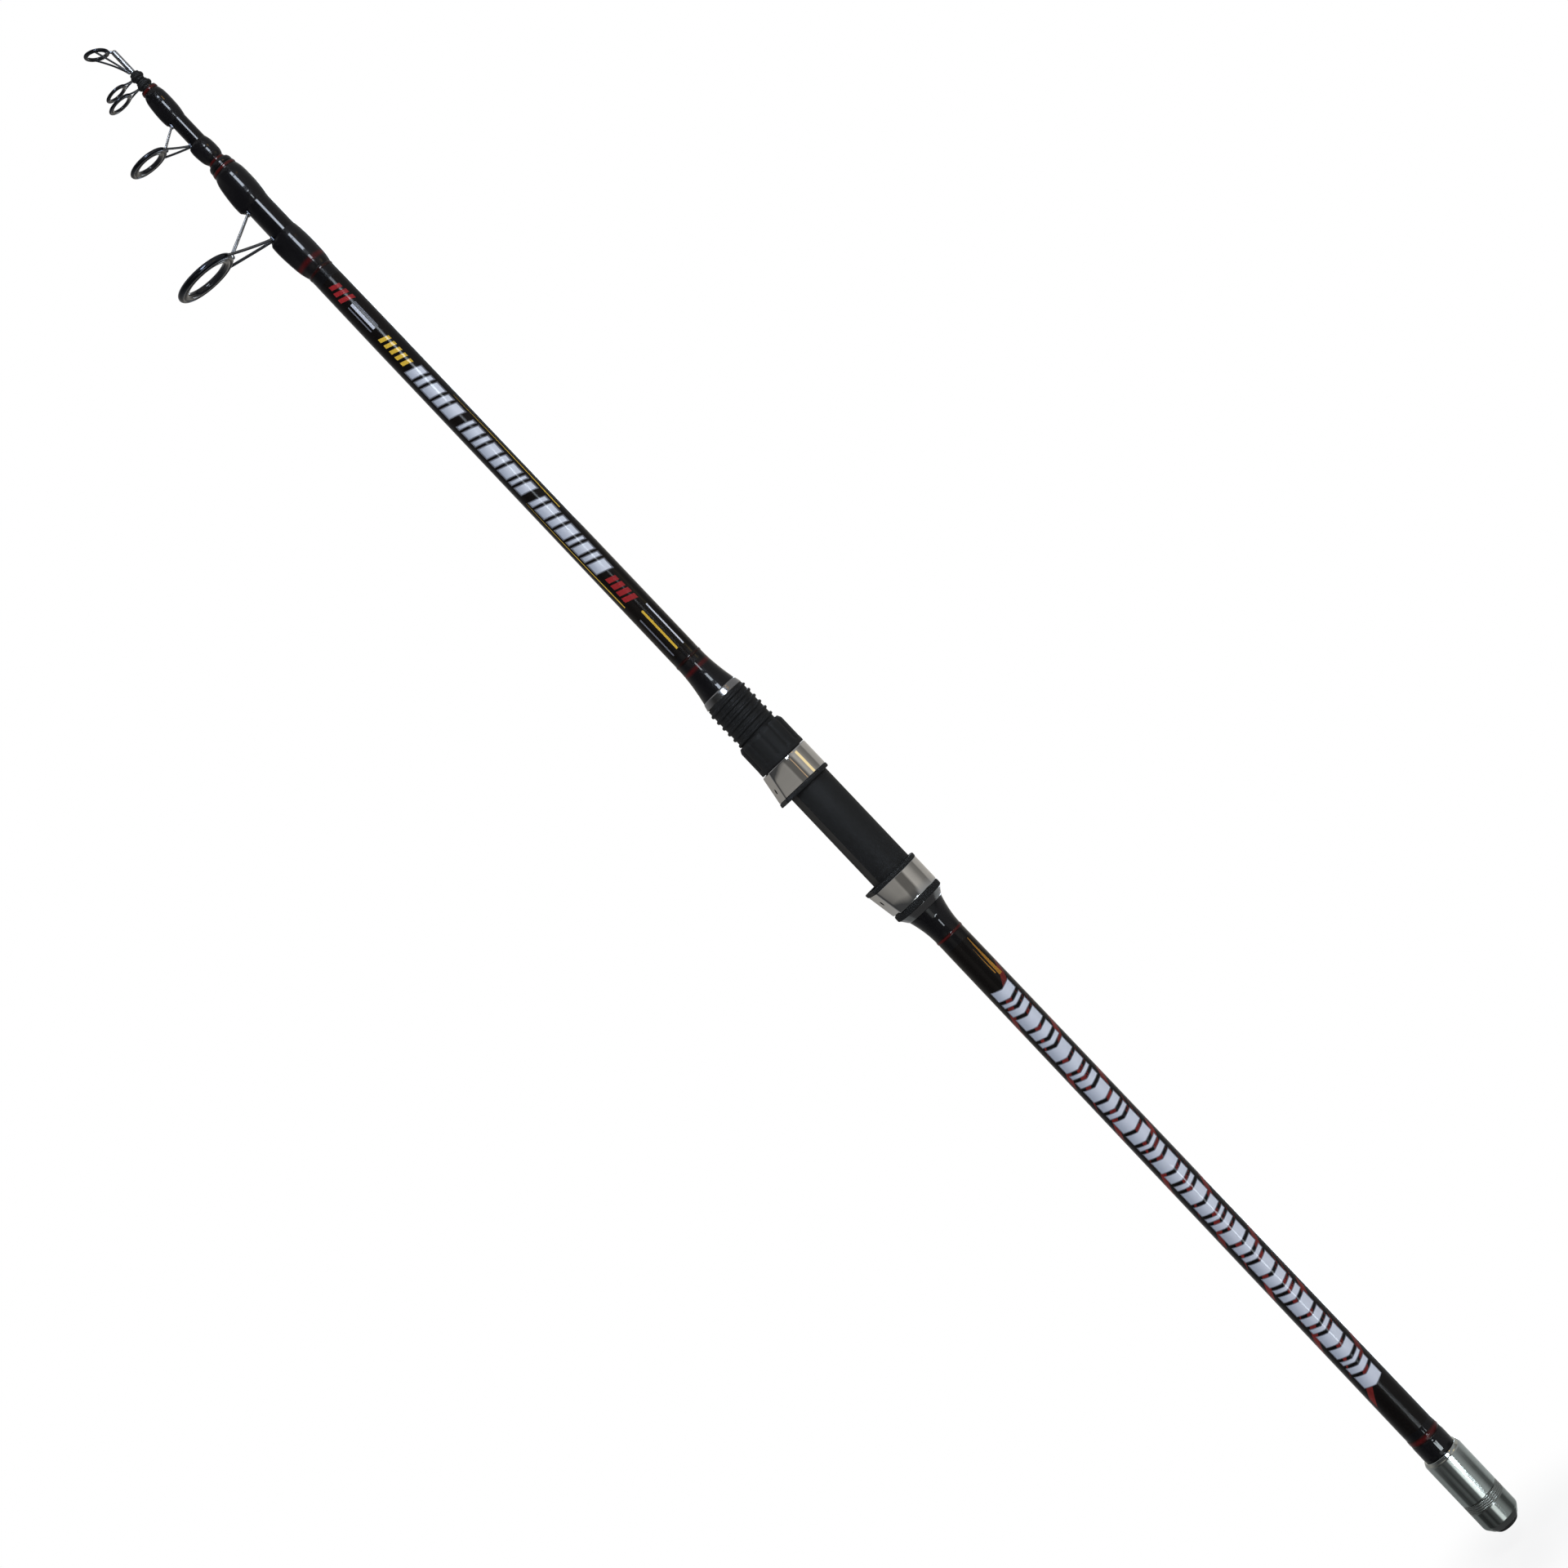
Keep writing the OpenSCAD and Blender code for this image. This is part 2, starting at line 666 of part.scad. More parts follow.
module sliding_hood_liner() {
    key_clear = 0.1;
    at_sliding_hood() hood_liner(sliding_hood_r, barrel_r + run_fit);
    color(black_matt) translate([barrel_r + run_fit - key_h, key_clear - keyway_w / 2, sliding_mouth_z])
        cube([key_h + shell_t, keyway_w - 2 * key_clear, rim_len]);
}

module lock_nut() {
    nut_bore = thread_crest_r + run_fit;
    rear_band = 2;
    color(black_matt) difference() {
        turned([
            [nut_bore, nut_z], [nut_r, nut_z], [nut_r, nut_z + nut_len - nut_cone_len],
            [nut_bore + nut_lip, nut_z + nut_len], [nut_bore, nut_z + nut_len]
        ]);
        for (i = [0 : flute_count - 1])
            rotate([0, 0, (i + 0.5) * 360 / flute_count])
                translate([nut_r + flute_r - flute_depth, 0, nut_z + rear_band])
                    cylinder(h = nut_len, r = flute_r);
    }
}

// Guides are drawn with the ring on +X and turned to the reel side

// A round wire along a quadratic curve from a to c, drawn towards b
module wire(a, b, c, r) {
    steps = 8;
    sides = 8;
    function at(t) = (1 - t) * (1 - t) * a + 2 * t * (1 - t) * b + t * t * c;
    function along(t) = (1 - t) * (b - a) + t * (c - b);
    function unit(v) = v / norm(v);
    rings = [for (i = [0 : steps]) let (
        t = i / steps,
        d = unit(along(t)),
        u = unit(cross(d, abs(d[1]) < 0.9 ? [0, 1, 0] : [1, 0, 0])),
        w = cross(d, u)
    ) [for (k = [0 : sides - 1]) at(t) + r * (cos(k * 360 / sides) * u + sin(k * 360 / sides) * w)]];
    points = [for (ring = rings, p = ring) p];
    faces = concat(
        [[for (k = [sides - 1 : -1 : 0]) k]],
        [[for (k = [0 : sides - 1]) steps * sides + k]],
        [for (i = [0 : steps - 1], k = [0 : sides - 1]) let (n = (k + 1) % sides)
            [i * sides + k, i * sides + n, (i + 1) * sides + n]],
        [for (i = [0 : steps - 1], k = [0 : sides - 1]) let (n = (k + 1) % sides)
            [i * sides + k, (i + 1) * sides + n, (i + 1) * sides + k]]
    );
    polyhedron(points, [for (f = faces) [for (j = [len(f) - 1 : -1 : 0]) f[j]]]);
}

// Radius where a ring's frame ends and its insert begins
function seat_r(r, bore_r) = r - (r - bore_r) * frame_share;

// Places a ring that leans with its outer edge towards the tip
module at_ring(h, z, lean) {
    translate([h, 0, z]) rotate([0, -lean, 0]) children();
}

// A point on such a ring, an angle away from the spot nearest the rod
function on_ring(h, z, lean, r, angle) = [
    h - r * cos(angle) * cos(lean), r * sin(angle), z - r * cos(angle) * sin(lean)
];

// Radius in the middle of a ring's outer band
function band_mid(r, bore_r) = (r + seat_r(r, bore_r)) / 2;

// The outer band of a ring, about the origin, before its seat is cut
module ring_band(r, bore_r, len) {
    s = seat_r(r, bore_r);
    bevel = len * bevel_share;
    core = (s + bore_r) / 2;
    turned([
        [core, -len / 2], [r - bevel, -len / 2], [r, -len / 2 + bevel], [r, len / 2 - bevel],
        [r - bevel, len / 2], [core, len / 2]
    ]);
}

// The seat for a ring's insert, with a groove round it
module ring_seat(r, bore_r, len) {
    s = seat_r(r, bore_r);
    groove = (r - s) * groove_share;
    turned([
        [0, -len], [s, -len], [s, -len / 2], [s + groove, -len / 4],
        [s + groove, len / 4], [s, len / 2], [s, len], [0, len]
    ]);
}

// The ceramic insert of a ring, about the origin
module ring_insert(r, bore_r, len) {
    s = seat_r(r, bore_r) - glue;
    groove = (r - s) * groove_share - glue;
    mid = (s + bore_r) / 2;
    half = len / 2 + insert_proud;
    steps = 10;
    color(ceramic) turned(concat(
        [[s, -len / 2], [s + groove, -len / 4], [s + groove, len / 4], [s, len / 2]],
        [for (i = [0 : steps]) let (a = 90 * (1 + 2 * i / steps))
            [mid + (mid - bore_r) * cos(a), half * sin(a)]]
    ));
}

// A foot that lies along a blank of radius r
module foot(z0, z1, r, w, grow) {
    translate([0, -w / 2 - grow, z0]) cube([r + foot_t + grow, w + 2 * grow, z1 - z0]);
}

// A glossy winding over a foot: feathered at z_far, full towards z_leg
module winding(z_far, z_leg, r_far, r_leg, w, bump) {
    slice = 0.02;
    full_share = 0.7;
    z_full = z_far + full_share * (z_leg - z_far);
    z_low = min(z_far, z_leg);
    z_high = max(z_far, z_leg) - slice;
    bump_r = w / 2 + wrap_t;
    bump_x = r_leg + bump - bump_r;
    hull($fn = 40) {
        translate([0, 0, z_far < z_leg ? z_low : z_high]) cylinder(h = slice, r = r_far + wrap_end_t);
        translate([0, 0, z_full]) cylinder(h = slice, r = r_leg + wrap_t);
        translate([bump_x, 0, z_full]) cylinder(h = slice, r = bump_r);
        translate([0, 0, z_far < z_leg ? z_high : z_low]) cylinder(h = slice, r = r_leg + 2 * wrap_end_t);
        translate([bump_x - wrap_end_t, 0, z_far < z_leg ? z_high : z_low]) cylinder(h = slice, r = bump_r);
    }
}

// Frame of a guide on two feet: two rear legs to the ring's sides, two front legs to its top
module guide_frame(
    z, h, r, bore_r, len, lean, z_rear, z_front, r_rear, r_front, leg_r, prong_r, w, foot_len
) {
    spread = 36;
    narrow = 9;
    tab = 3 * leg_r;
    hold = band_mid(r, bore_r);
    lift = foot_t / 2;
    side_y = w / 2 - leg_r;
    color(gunmetal) difference() {
        union() {
            at_ring(h, z, lean) ring_band(r, bore_r, len);
            foot(z_rear - foot_len, z_rear + tab, r_rear, w, 0);
            foot(z_front - tab, z_front + foot_len, r_front, w, 0);
            for (side = [-1, 1]) {
                wire(
                    [r_rear + lift, side * side_y, z_rear + tab / 2],
                    [(r_rear + h - r) / 2, side * w / 2, z_rear + tab],
                    on_ring(h, z, lean, hold, side * spread),
                    leg_r
                );
                wire(
                    [r_front + lift, side * side_y, z_front - tab / 2],
                    [r_front + 2 * foot_t, side * side_y, z_front - tab],
                    on_ring(h, z, lean, hold, side * narrow),
                    prong_r
                );
            }
        }
        at_ring(h, z, lean) ring_seat(r, bore_r, len);
    }
}

module large_guide_frame() {
    to_reel_side() difference() {
        guide_frame(
            g1_z, g1_h, g1_r, g1_bore_r, g1_ring_len, g1_lean, g1_wrap_rear, g1_wrap_front,
            butt_r(g1_wrap_rear), butt_r(g1_wrap_front), g1_leg_r, g1_prong_r, g1_foot_w, g1_foot_len
        );
        butt_core(glue);
    }
}

module large_guide_ring() {
    to_reel_side() at_ring(g1_h, g1_z, g1_lean) ring_insert(g1_r, g1_bore_r, g1_ring_len);
}

module large_guide_rear_wrap() {
    z_far = g1_wrap_rear - g1_rear_wrap;
    r_leg = butt_r(g1_wrap_rear);
    color(black_gloss) to_reel_side() difference() {
        winding(z_far, g1_wrap_rear, butt_r(z_far), r_leg, g1_foot_w, g1_bump);
        butt_core(glue);
        foot(g1_wrap_rear - g1_foot_len - glue, g1_wrap_rear + past, r_leg, g1_foot_w, glue);
    }
}

module large_guide_front_wrap() {
    z_far = g1_wrap_front + g1_front_wrap;
    r_leg = butt_r(g1_wrap_front);
    color(black_gloss) to_reel_side() difference() {
        winding(z_far, g1_wrap_front, butt_r(z_far), r_leg, g1_foot_w, g1_bump);
        butt_core(glue);
        foot(g1_wrap_front - past, g1_wrap_front + g1_foot_len + glue, r_leg, g1_foot_w, glue);
    }
}

// Mid section

module mid_blank() {
    color(black_gloss) difference() {
        turned([[0, mid_z0], [mid_r_rear, mid_z0], [mid_r_front, mid_z1], [0, mid_z1]]);
        turned([
            [0, mid_z0 - past], [mid_bore_rear, mid_z0 - past],
            [mid_wedge_r + bore_ease, mid_wedge_z - ease_len], [mid_wedge_r, mid_wedge_z],
            [mid_mouth_r, mid_z1], [mid_mouth_r, mid_z1 + past], [0, mid_z1 + past]
        ]);
    }
}

module mid_stop_collar() {
    rise = collar_len / 3;
    color(black_gloss) difference() {
        turned([
            [0, collar_z], [collar_r, collar_z], [collar_r, collar_z + rise],
            [mid_r(collar_z1) + wrap_t, collar_z1], [0, collar_z1]
        ]);
        mid_core(glue);
    }
}

// A red band round the mid blank
module mid_band(z) {
    difference() {
        translate([0, 0, z]) cylinder(h = band_w, r = mid_r(z) + glue + band_t);
        mid_core(glue);
    }
}

module mid_trim_bands() {
    color(red) {
        mid_band(collar_z1 + glue);
        mid_band(g2_wrap_front + g2_front_wrap + glue);
    }
}

module medium_guide_frame() {
    to_reel_side() difference() {
        guide_frame(
            g2_z, g2_h, g2_r, g2_bore_r, g2_ring_len, g2_lean, g2_wrap_rear, g2_wrap_front,
            mid_r(g2_wrap_rear), mid_r(g2_wrap_front), g2_leg_r, g2_prong_r, g2_foot_w, g2_foot_len
        );
        mid_core(glue);
    }
}

module medium_guide_ring() {
    to_reel_side() at_ring(g2_h, g2_z, g2_lean) ring_insert(g2_r, g2_bore_r, g2_ring_len);
}

module medium_guide_rear_wrap() {
    r_leg = mid_r(g2_wrap_rear);
    color(black_gloss) to_reel_side() difference() {
        winding(g2_wrap_start, g2_wrap_rear, mid_r(g2_wrap_start), r_leg, g2_foot_w, g2_bump);
        mid_core(glue);
        foot(g2_wrap_rear - g2_foot_len - glue, g2_wrap_rear + past, r_leg, g2_foot_w, glue);
    }
}

module medium_guide_front_wrap() {
    z_far = g2_wrap_front + g2_front_wrap;
    r_leg = mid_r(g2_wrap_front);
    color(black_gloss) to_reel_side() difference() {
        winding(z_far, g2_wrap_front, mid_r(z_far), r_leg, g2_foot_w, g2_bump);
        mid_core(glue);
        foot(g2_wrap_front - past, g2_wrap_front + g2_foot_len + glue, r_leg, g2_foot_w, glue);
    }
}

// Tip section

module tip_blank() {
    color(black_gloss) turned([[0, tip_z0], [tip_r_rear, tip_z0], [tip_r_front, tip_z1], [0, tip_z1]]);
}

module tip_ring_frame() {
    hold = band_mid(tr_r, tr_bore_r);
    brace_angle = 104;
    top = on_ring(tr_h, tr_z, tr_lean, hold, 0);
    color(gunmetal) to_reel_side() difference() {
        union() {
            at_ring(tr_h, tr_z, tr_lean) ring_band(tr_r, tr_bore_r, tr_ring_len);
            translate([0, 0, tube_z]) cylinder(h = tr_tube_len, r = tr_tube_r);
            wire([0, 0, tube_z1 - 2 * tr_brace_r], [top[0] / 2, 0, tube_z1], top, tr_brace_r);
            for (side = [-1, 1])
                wire(
                    [tr_tube_r, side * tr_brace_r, tube_z + 2 * tr_brace_r],
                    [tr_h / 2, side * tr_tube_r, (tube_z + tr_z) / 2],
                    on_ring(tr_h, tr_z, tr_lean, hold, side * brace_angle),
                    tr_brace_r
                );
        }
        at_ring(tr_h, tr_z, tr_lean) ring_seat(tr_r, tr_bore_r, tr_ring_len);
        turned([
            [0, tube_z - past], [tip_r(tube_z - past) + glue, tube_z - past],
            [tip_r_front + glue, tip_z1 + glue], [0, tip_z1 + glue]
        ]);
    }
}

module tip_ring_insert() {
    to_reel_side() at_ring(tr_h, tr_z, tr_lean) ring_insert(tr_r, tr_bore_r, tr_ring_len);
}

// Runner guides: a collar on the tip's taper, a wire frame bound round it, and a ring

function run_collar_r(bead_r) = bead_r - 2 * run_leg_r;

module runner_collar(z, bore, bead_r) {
    color(black_matt) tube(z, z + run_collar_len, bore, run_collar_r(bead_r));
}

module runner_frame(z, h, r, bore_r, bead_r) {
    spread = 32;
    band_len = 4 * run_leg_r;
    start_r = run_collar_r(bead_r) + run_leg_r;
    z_mid = z + run_collar_len / 2;
    color(gunmetal) to_reel_side() difference() {
        union() {
            at_ring(h, z_mid, 0) ring_band(r, bore_r, run_ring_len);
            translate([0, 0, z_mid - band_len / 2]) cylinder(h = band_len, r = bead_r);
            for (side = [-1, 1])
                wire(
                    [start_r, side * run_leg_r, z_mid],
                    [(bead_r + h - r) / 2, side * run_leg_r, z_mid],
                    on_ring(h, z_mid, 0, band_mid(r, bore_r), side * spread),
                    run_leg_r
                );
        }
        at_ring(h, z_mid, 0) ring_seat(r, bore_r, run_ring_len);
        translate([0, 0, z]) cylinder(h = run_collar_len, r = run_collar_r(bead_r) + glue);
    }
}

module runner_ring(z, h, r, bore_r) {
    to_reel_side() at_ring(h, z + run_collar_len / 2, 0) ring_insert(r, bore_r, run_ring_len);
}

module rear_runner_collar() {
    runner_collar(rr_z, rr_bore, rr_bead_r);
}

module rear_runner_frame() {
    runner_frame(rr_z, rr_h, rr_r, rr_bore_r, rr_bead_r);
}

module rear_runner_ring() {
    runner_ring(rr_z, rr_h, rr_r, rr_bore_r);
}

module front_runner_collar() {
    runner_collar(rf_z, rf_bore, rf_bead_r);
}

module front_runner_frame() {
    runner_frame(rf_z, rf_h, rf_r, rf_bore_r, rf_bead_r);
}

module front_runner_ring() {
    runner_ring(rf_z, rf_h, rf_r, rf_bore_r);
}

end_pad();
cap_cushion();
end_cap();
butt_sleeve();
butt_wrap();
butt_blank();
butt_trim_bands();
rear_flare();
rear_trim_ring();
rear_flange();
fixed_hood_shell();
fixed_hood_liner();
seat_barrel();
seat_arbors();
sliding_hood_shell();
sliding_hood_liner();
lock_nut();
front_trim_ring();
front_flare();
large_guide_rear_wrap();
large_guide_front_wrap();
large_guide_frame();
large_guide_ring();
mid_blank();
mid_stop_collar();
mid_trim_bands();
medium_guide_rear_wrap();
medium_guide_front_wrap();
medium_guide_frame();
medium_guide_ring();
tip_blank();
tip_ring_frame();
tip_ring_insert();
rear_runner_collar();
rear_runner_frame();
rear_runner_ring();
front_runner_collar();
front_runner_frame();
front_runner_ring();
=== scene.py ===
from math import acos, atan2, cos, hypot, pi, radians, sin
import bpy
import bmesh
from mathutils import Matrix, Vector


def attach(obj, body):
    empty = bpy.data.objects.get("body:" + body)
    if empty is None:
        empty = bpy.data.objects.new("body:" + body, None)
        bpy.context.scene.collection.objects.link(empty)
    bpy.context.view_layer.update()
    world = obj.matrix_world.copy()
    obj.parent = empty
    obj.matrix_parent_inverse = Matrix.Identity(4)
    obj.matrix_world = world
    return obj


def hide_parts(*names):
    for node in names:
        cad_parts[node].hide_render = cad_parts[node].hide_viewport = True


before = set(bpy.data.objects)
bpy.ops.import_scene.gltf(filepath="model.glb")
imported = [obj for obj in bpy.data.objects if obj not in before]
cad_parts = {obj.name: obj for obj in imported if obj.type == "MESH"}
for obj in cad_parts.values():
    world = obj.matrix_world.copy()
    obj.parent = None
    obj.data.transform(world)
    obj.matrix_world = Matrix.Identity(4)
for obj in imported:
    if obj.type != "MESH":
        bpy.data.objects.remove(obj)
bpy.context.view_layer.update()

mm = 0.001
scene = bpy.context.scene
scene.view_settings.view_transform = "Standard"
print("rod: frame loaded,", len(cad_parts), "nodes")


# Small helpers that every section uses
def linked(name, data):
    made = bpy.data.objects.new(name, data)
    scene.collection.objects.link(made)
    return made


def at(table, place):
    for (low, lowValue), (high, highValue) in zip(table, table[1:]):
        if place <= high:
            break
    return lowValue + (highValue - lowValue) * (place - low) / (high - low)


def circle(steps):
    return [(cos(2 * pi * i / steps), sin(2 * pi * i / steps)) for i in range(steps)]


# Camera, as the photograph sees the rod: a square frame with the rod lying on a diagonal
photoView = dict(roll=46.527, turn=13.0, alongRod=0.4038, toGuides=0.0066, away=1.052, lens=61.875, sensor=36.0)
turnAngle = radians(photoView["turn"])
toCamera = Vector((-sin(turnAngle), -cos(turnAngle), 0))
toGuides = Vector((-cos(turnAngle), sin(turnAngle), 0))
upRod = Vector((0, 0, 1))


def placeCamera():
    roll = radians(photoView["roll"])
    right = -cos(roll) * upRod - sin(roll) * toGuides
    up = sin(roll) * upRod - cos(roll) * toGuides
    lens = bpy.data.cameras.new("photoCamera")
    lens.lens, lens.sensor_width, lens.clip_start = photoView["lens"], photoView["sensor"], 0.01
    camera = linked("photoCamera", lens)
    place = upRod * photoView["alongRod"] + toGuides * photoView["toGuides"] + toCamera * photoView["away"]
    camera.matrix_world = Matrix((right, up, toCamera)).transposed().to_4x4()
    camera.matrix_world.translation = place
    scene.camera = camera


placeCamera()


# Node helpers, for shaders and for geometry trees alike
def feed(tree, socket, value):
    if isinstance(value, bpy.types.NodeSocket):
        tree.links.new(value, socket)
    else:
        socket.default_value = value


def addNode(tree, kind, inputs=None, **settings):
    node = tree.nodes.new(kind)
    for key, value in settings.items():
        setattr(node, key, value)
    for key, value in (inputs or {}).items():
        feed(tree, node.inputs[key], value)
    return node


def sums(tree, operation, total, *others):
    # more than two values are taken one after the other; a sine, say, leaves the second input unused
    for other in others or (0.0,):
        total = addNode(tree, "ShaderNodeMath", {0: total, 1: other}, operation=operation).outputs[0]
    return total


def plus(tree, *values):
    return sums(tree, "ADD", *values)


def minus(tree, *values):
    return sums(tree, "SUBTRACT", *values)


def times(tree, *values):
    return sums(tree, "MULTIPLY", *values)


def ranged(tree, value, fromLow, fromHigh, toLow, toHigh, smooth=False):
    ends = dict(enumerate((value, fromLow, fromHigh, toLow, toHigh)))
    kind = "SMOOTHSTEP" if smooth else "LINEAR"
    return addNode(tree, "ShaderNodeMapRange", ends, interpolation_type=kind).outputs[0]


def split(tree, vector):
    return addNode(tree, "ShaderNodeSeparateXYZ", {0: vector}).outputs


def joined(tree, x, y, z=0.0):
    return addNode(tree, "ShaderNodeCombineXYZ", {0: x, 1: y, 2: z}).outputs[0]


def objectPlace(tree):
    return addNode(tree, "ShaderNodeTexCoord").outputs["Object"]


def freshMaterial(name):
    mat = bpy.data.materials.new(name)
    mat.use_nodes = True
    mat.node_tree.nodes.clear()
    return mat, mat.node_tree


# Studio: white surround, pale floor, soft lamps, and a ring of grey cards that only reflections see
studio = dict(worldLight=0.5, floorDrop=-0.0105, floorRadius=1.6, cardsAway=1.4, patchesAhead=0.05, cardSteps=240,
              discSteps=36, floorSteps=96, surround=(0.93, 0.96, 1, 1), white=(1, 1, 1, 1),
              floorTone=(0.86, 0.86, 0.86, 1), shadowFrom=0.015, shadowTo=0.07, shadowClear=0.8)
lamps = dict(  # turn from the camera, distance, height, width, length, power, colour
    keyLamp=(-20, 1.3, 1.25, 0.5, 0.5, 7, (0.95, 0.98, 1)),
    guideFill=(62, 1.2, 0.9, 0.7, 0.9, 3, (1, 1, 1)),
    backFill=(185, 1.2, 0.7, 0.5, 1.5, 5, (1, 0.98, 0.95)))
lampAim = 0.4  # height on the rod that the lamps point at


def aroundRod(turn, away, height):
    a = radians(turn)
    return toCamera * cos(a) * away + toGuides * sin(a) * away + upRod * height


def seenDirectly(tree):
    path = addNode(tree, "ShaderNodeLightPath").outputs
    return sums(tree, "MAXIMUM", path["Is Camera Ray"], path["Is Glossy Ray"], path["Is Transmission Ray"])


def litWorld():
    world = bpy.data.worlds.new("whiteSurround")
    scene.world = world
    world.use_nodes = True
    tree = world.node_tree
    tree.nodes.clear()
    soft = addNode(tree, "ShaderNodeBackground", {"Color": studio["surround"], "Strength": studio["worldLight"]})
    white = addNode(tree, "ShaderNodeBackground", {"Color": studio["white"], "Strength": 1.0})
    mix = addNode(tree, "ShaderNodeMixShader", {0: seenDirectly(tree), 1: soft.outputs[0], 2: white.outputs[0]})
    addNode(tree, "ShaderNodeOutputWorld", {0: mix.outputs[0]})


def paleFloor():
    steps, reach = studio["floorSteps"], studio["floorRadius"]
    floor = bpy.data.meshes.new("paleFloor")
    floor.from_pydata([(reach * x, reach * y, studio["floorDrop"]) for x, y in circle(steps)], [], [list(range(steps))])
    made = linked("paleFloor", floor)
    mat, tree = freshMaterial("paleFloor")
    away = addNode(tree, "ShaderNodeVectorMath", {0: objectPlace(tree)}, operation="LENGTH").outputs["Value"]
    clear = ranged(tree, away, studio["shadowFrom"], studio["shadowTo"], studio["shadowClear"], 1.0, True)
    clear = times(tree, seenDirectly(tree), clear)
    pale = addNode(tree, "ShaderNodeBsdfDiffuse", {"Color": studio["floorTone"]})
    glow = addNode(tree, "ShaderNodeEmission", {"Color": studio["white"], "Strength": 1.0})
    mix = addNode(tree, "ShaderNodeMixShader", {0: clear, 1: pale.outputs[0], 2: glow.outputs[0]})
    addNode(tree, "ShaderNodeOutputMaterial", {0: mix.outputs[0]})
    floor.materials.append(mat)
    made.visible_glossy = False


def areaLamp(name, turn, away, height, wide, tall, power, colour):
    lamp = bpy.data.lights.new(name, "AREA")
    lamp.shape = "RECTANGLE"
    lamp.size, lamp.size_y, lamp.energy, lamp.color = wide, tall, power, colour
    made = linked(name, lamp)
    made.location = aroundRod(turn, away, height)
    made.rotation_euler = (Vector((0, 0, lampAim)) - made.location).to_track_quat("-Z", "Y").to_euler()
    made.visible_glossy = False


# How bright the cards are round the rod, degrees from the camera towards the guides, by height
cardTones = dict(
    steel=[(-180, 0.6), (-110, 0.35), (-92, 0.1), (-72, 0.1), (-45, 0.4), (-17, 0.5), (-11, 1.6), (3, 1.6), (13, 0.18),
           (40, 0.04), (54, 0.12), (75, 0.04), (95, 0.06), (110, 0.25), (160, 0.25), (180, 0.6)],
    seat=[(-180, 0.6), (-108, 0.45), (-100, 0.2), (-80, 0.25), (-60, 0.45), (-38, 0.55), (-28, 0.15), (5, 0.15),
          (12, 0.35), (28, 0.3), (50, 0.1), (75, 0.1), (110, 0.35), (160, 0.3), (180, 0.6)],
    dark=[(-180, 0.5), (-100, 0.35), (-30, 0.35), (-20, 0.1), (60, 0.05), (110, 0.25), (180, 0.5)])
cardTints = dict(steel=(0.95, 1, 0.985), seat=(1, 0.95, 0.87), dark=(1, 1, 1))
cardLevels = [(-1.3, "steel"), (-0.46, "steel"), (-0.44, "dark"), (-0.02, "dark"), (0.2, "seat"), (0.6, "seat"),
              (0.75, "dark"), (2.1, "dark")]
endCards = dict(lowCard=(-1.3, 0.09), highCard=(2.1, 0.4))  # height, tone
litPatches = dict(  # lit patches before the cards: turns, heights, colour
    warmPatch=(-66, -54, 0.37, 0.62, (1.45, 1.16, 0.62)), amberPatch=(-22, -18, 0.37, 0.62, (0.66, 0.46, 0.28)),
    buttPatch=(-29, -6, -0.424, -0.399, (18, 20, 21)), rearPatch=(-18, -9, -0.29, -0.07, (11, 12, 13)),
    frontPatch=(-18, -9, 0.66, 0.80, (11, 12, 13)), flarePatch=(-23, -8, 0.86, 0.98, (14, 15.5, 17)),
    windingPatch=(-26, -8, 1.04, 1.22, (18, 20, 23)), tipPatch=(-26, -8, 1.27, 1.42, (18, 20, 23)),
    tipAmberPatch=(-54, -44, 1.225, 1.265, (7, 4, 1.2)), farPatch=(186, 200, 0.7, 1.1, (5, 5.5, 6)),
    farLowPatch=(186, 200, -0.4, -0.1, (5, 5.5, 6)))


def glowSheet(name, verts, faces, colours):
    mesh = bpy.data.meshes.new(name)
    mesh.from_pydata(verts, [], faces)
    tones = mesh.attributes.new("tone", "FLOAT_COLOR", "POINT")
    tones.data.foreach_set("color", [c for colour in colours for c in (*colour, 1)])
    made = linked(name, mesh)
    mat, tree = freshMaterial(name)
    tone = addNode(tree, "ShaderNodeAttribute", attribute_name="tone").outputs["Color"]
    glow = addNode(tree, "ShaderNodeEmission", {"Color": tone, "Strength": 1.0})
    addNode(tree, "ShaderNodeOutputMaterial", {0: glow.outputs[0]})
    mesh.materials.append(mat)
    made.visible_camera = made.visible_diffuse = made.visible_shadow = made.visible_transmission = False


def greyCards():
    steps, away, disc = studio["cardSteps"], studio["cardsAway"], studio["discSteps"]
    verts, faces, colours = [], [], []
    for j, (height, level) in enumerate(cardLevels):
        for i in range(steps + 1):
            turn = -180 + 360 * i / steps
            verts.append(aroundRod(turn, away, height))
            colours.append([at(cardTones[level], turn) * t for t in cardTints[level]])
            if j and i:
                here = j * (steps + 1) + i
                faces.append((here - steps - 2, here - steps - 1, here, here - 1))
    glowSheet("greyCards", verts, faces, colours)
    for name, (fromTurn, toTurn, low, high, colour) in litPatches.items():
        corners = [aroundRod(t, away - studio["patchesAhead"], h) for t in (fromTurn, toTurn) for h in (low, high)]
        glowSheet(name, corners, [(0, 1, 3, 2)], [colour] * 4)
    for name, (height, tone) in endCards.items():
        rim = [aroundRod(360 * i / disc, away, height) for i in range(disc)]
        glowSheet(name, rim, [list(range(disc))], [(tone, tone, tone)] * disc)


litWorld()
paleFloor()
for lampName, lampSize in lamps.items():
    areaLamp(lampName, *lampSize)
greyCards()
print("rod: studio set")


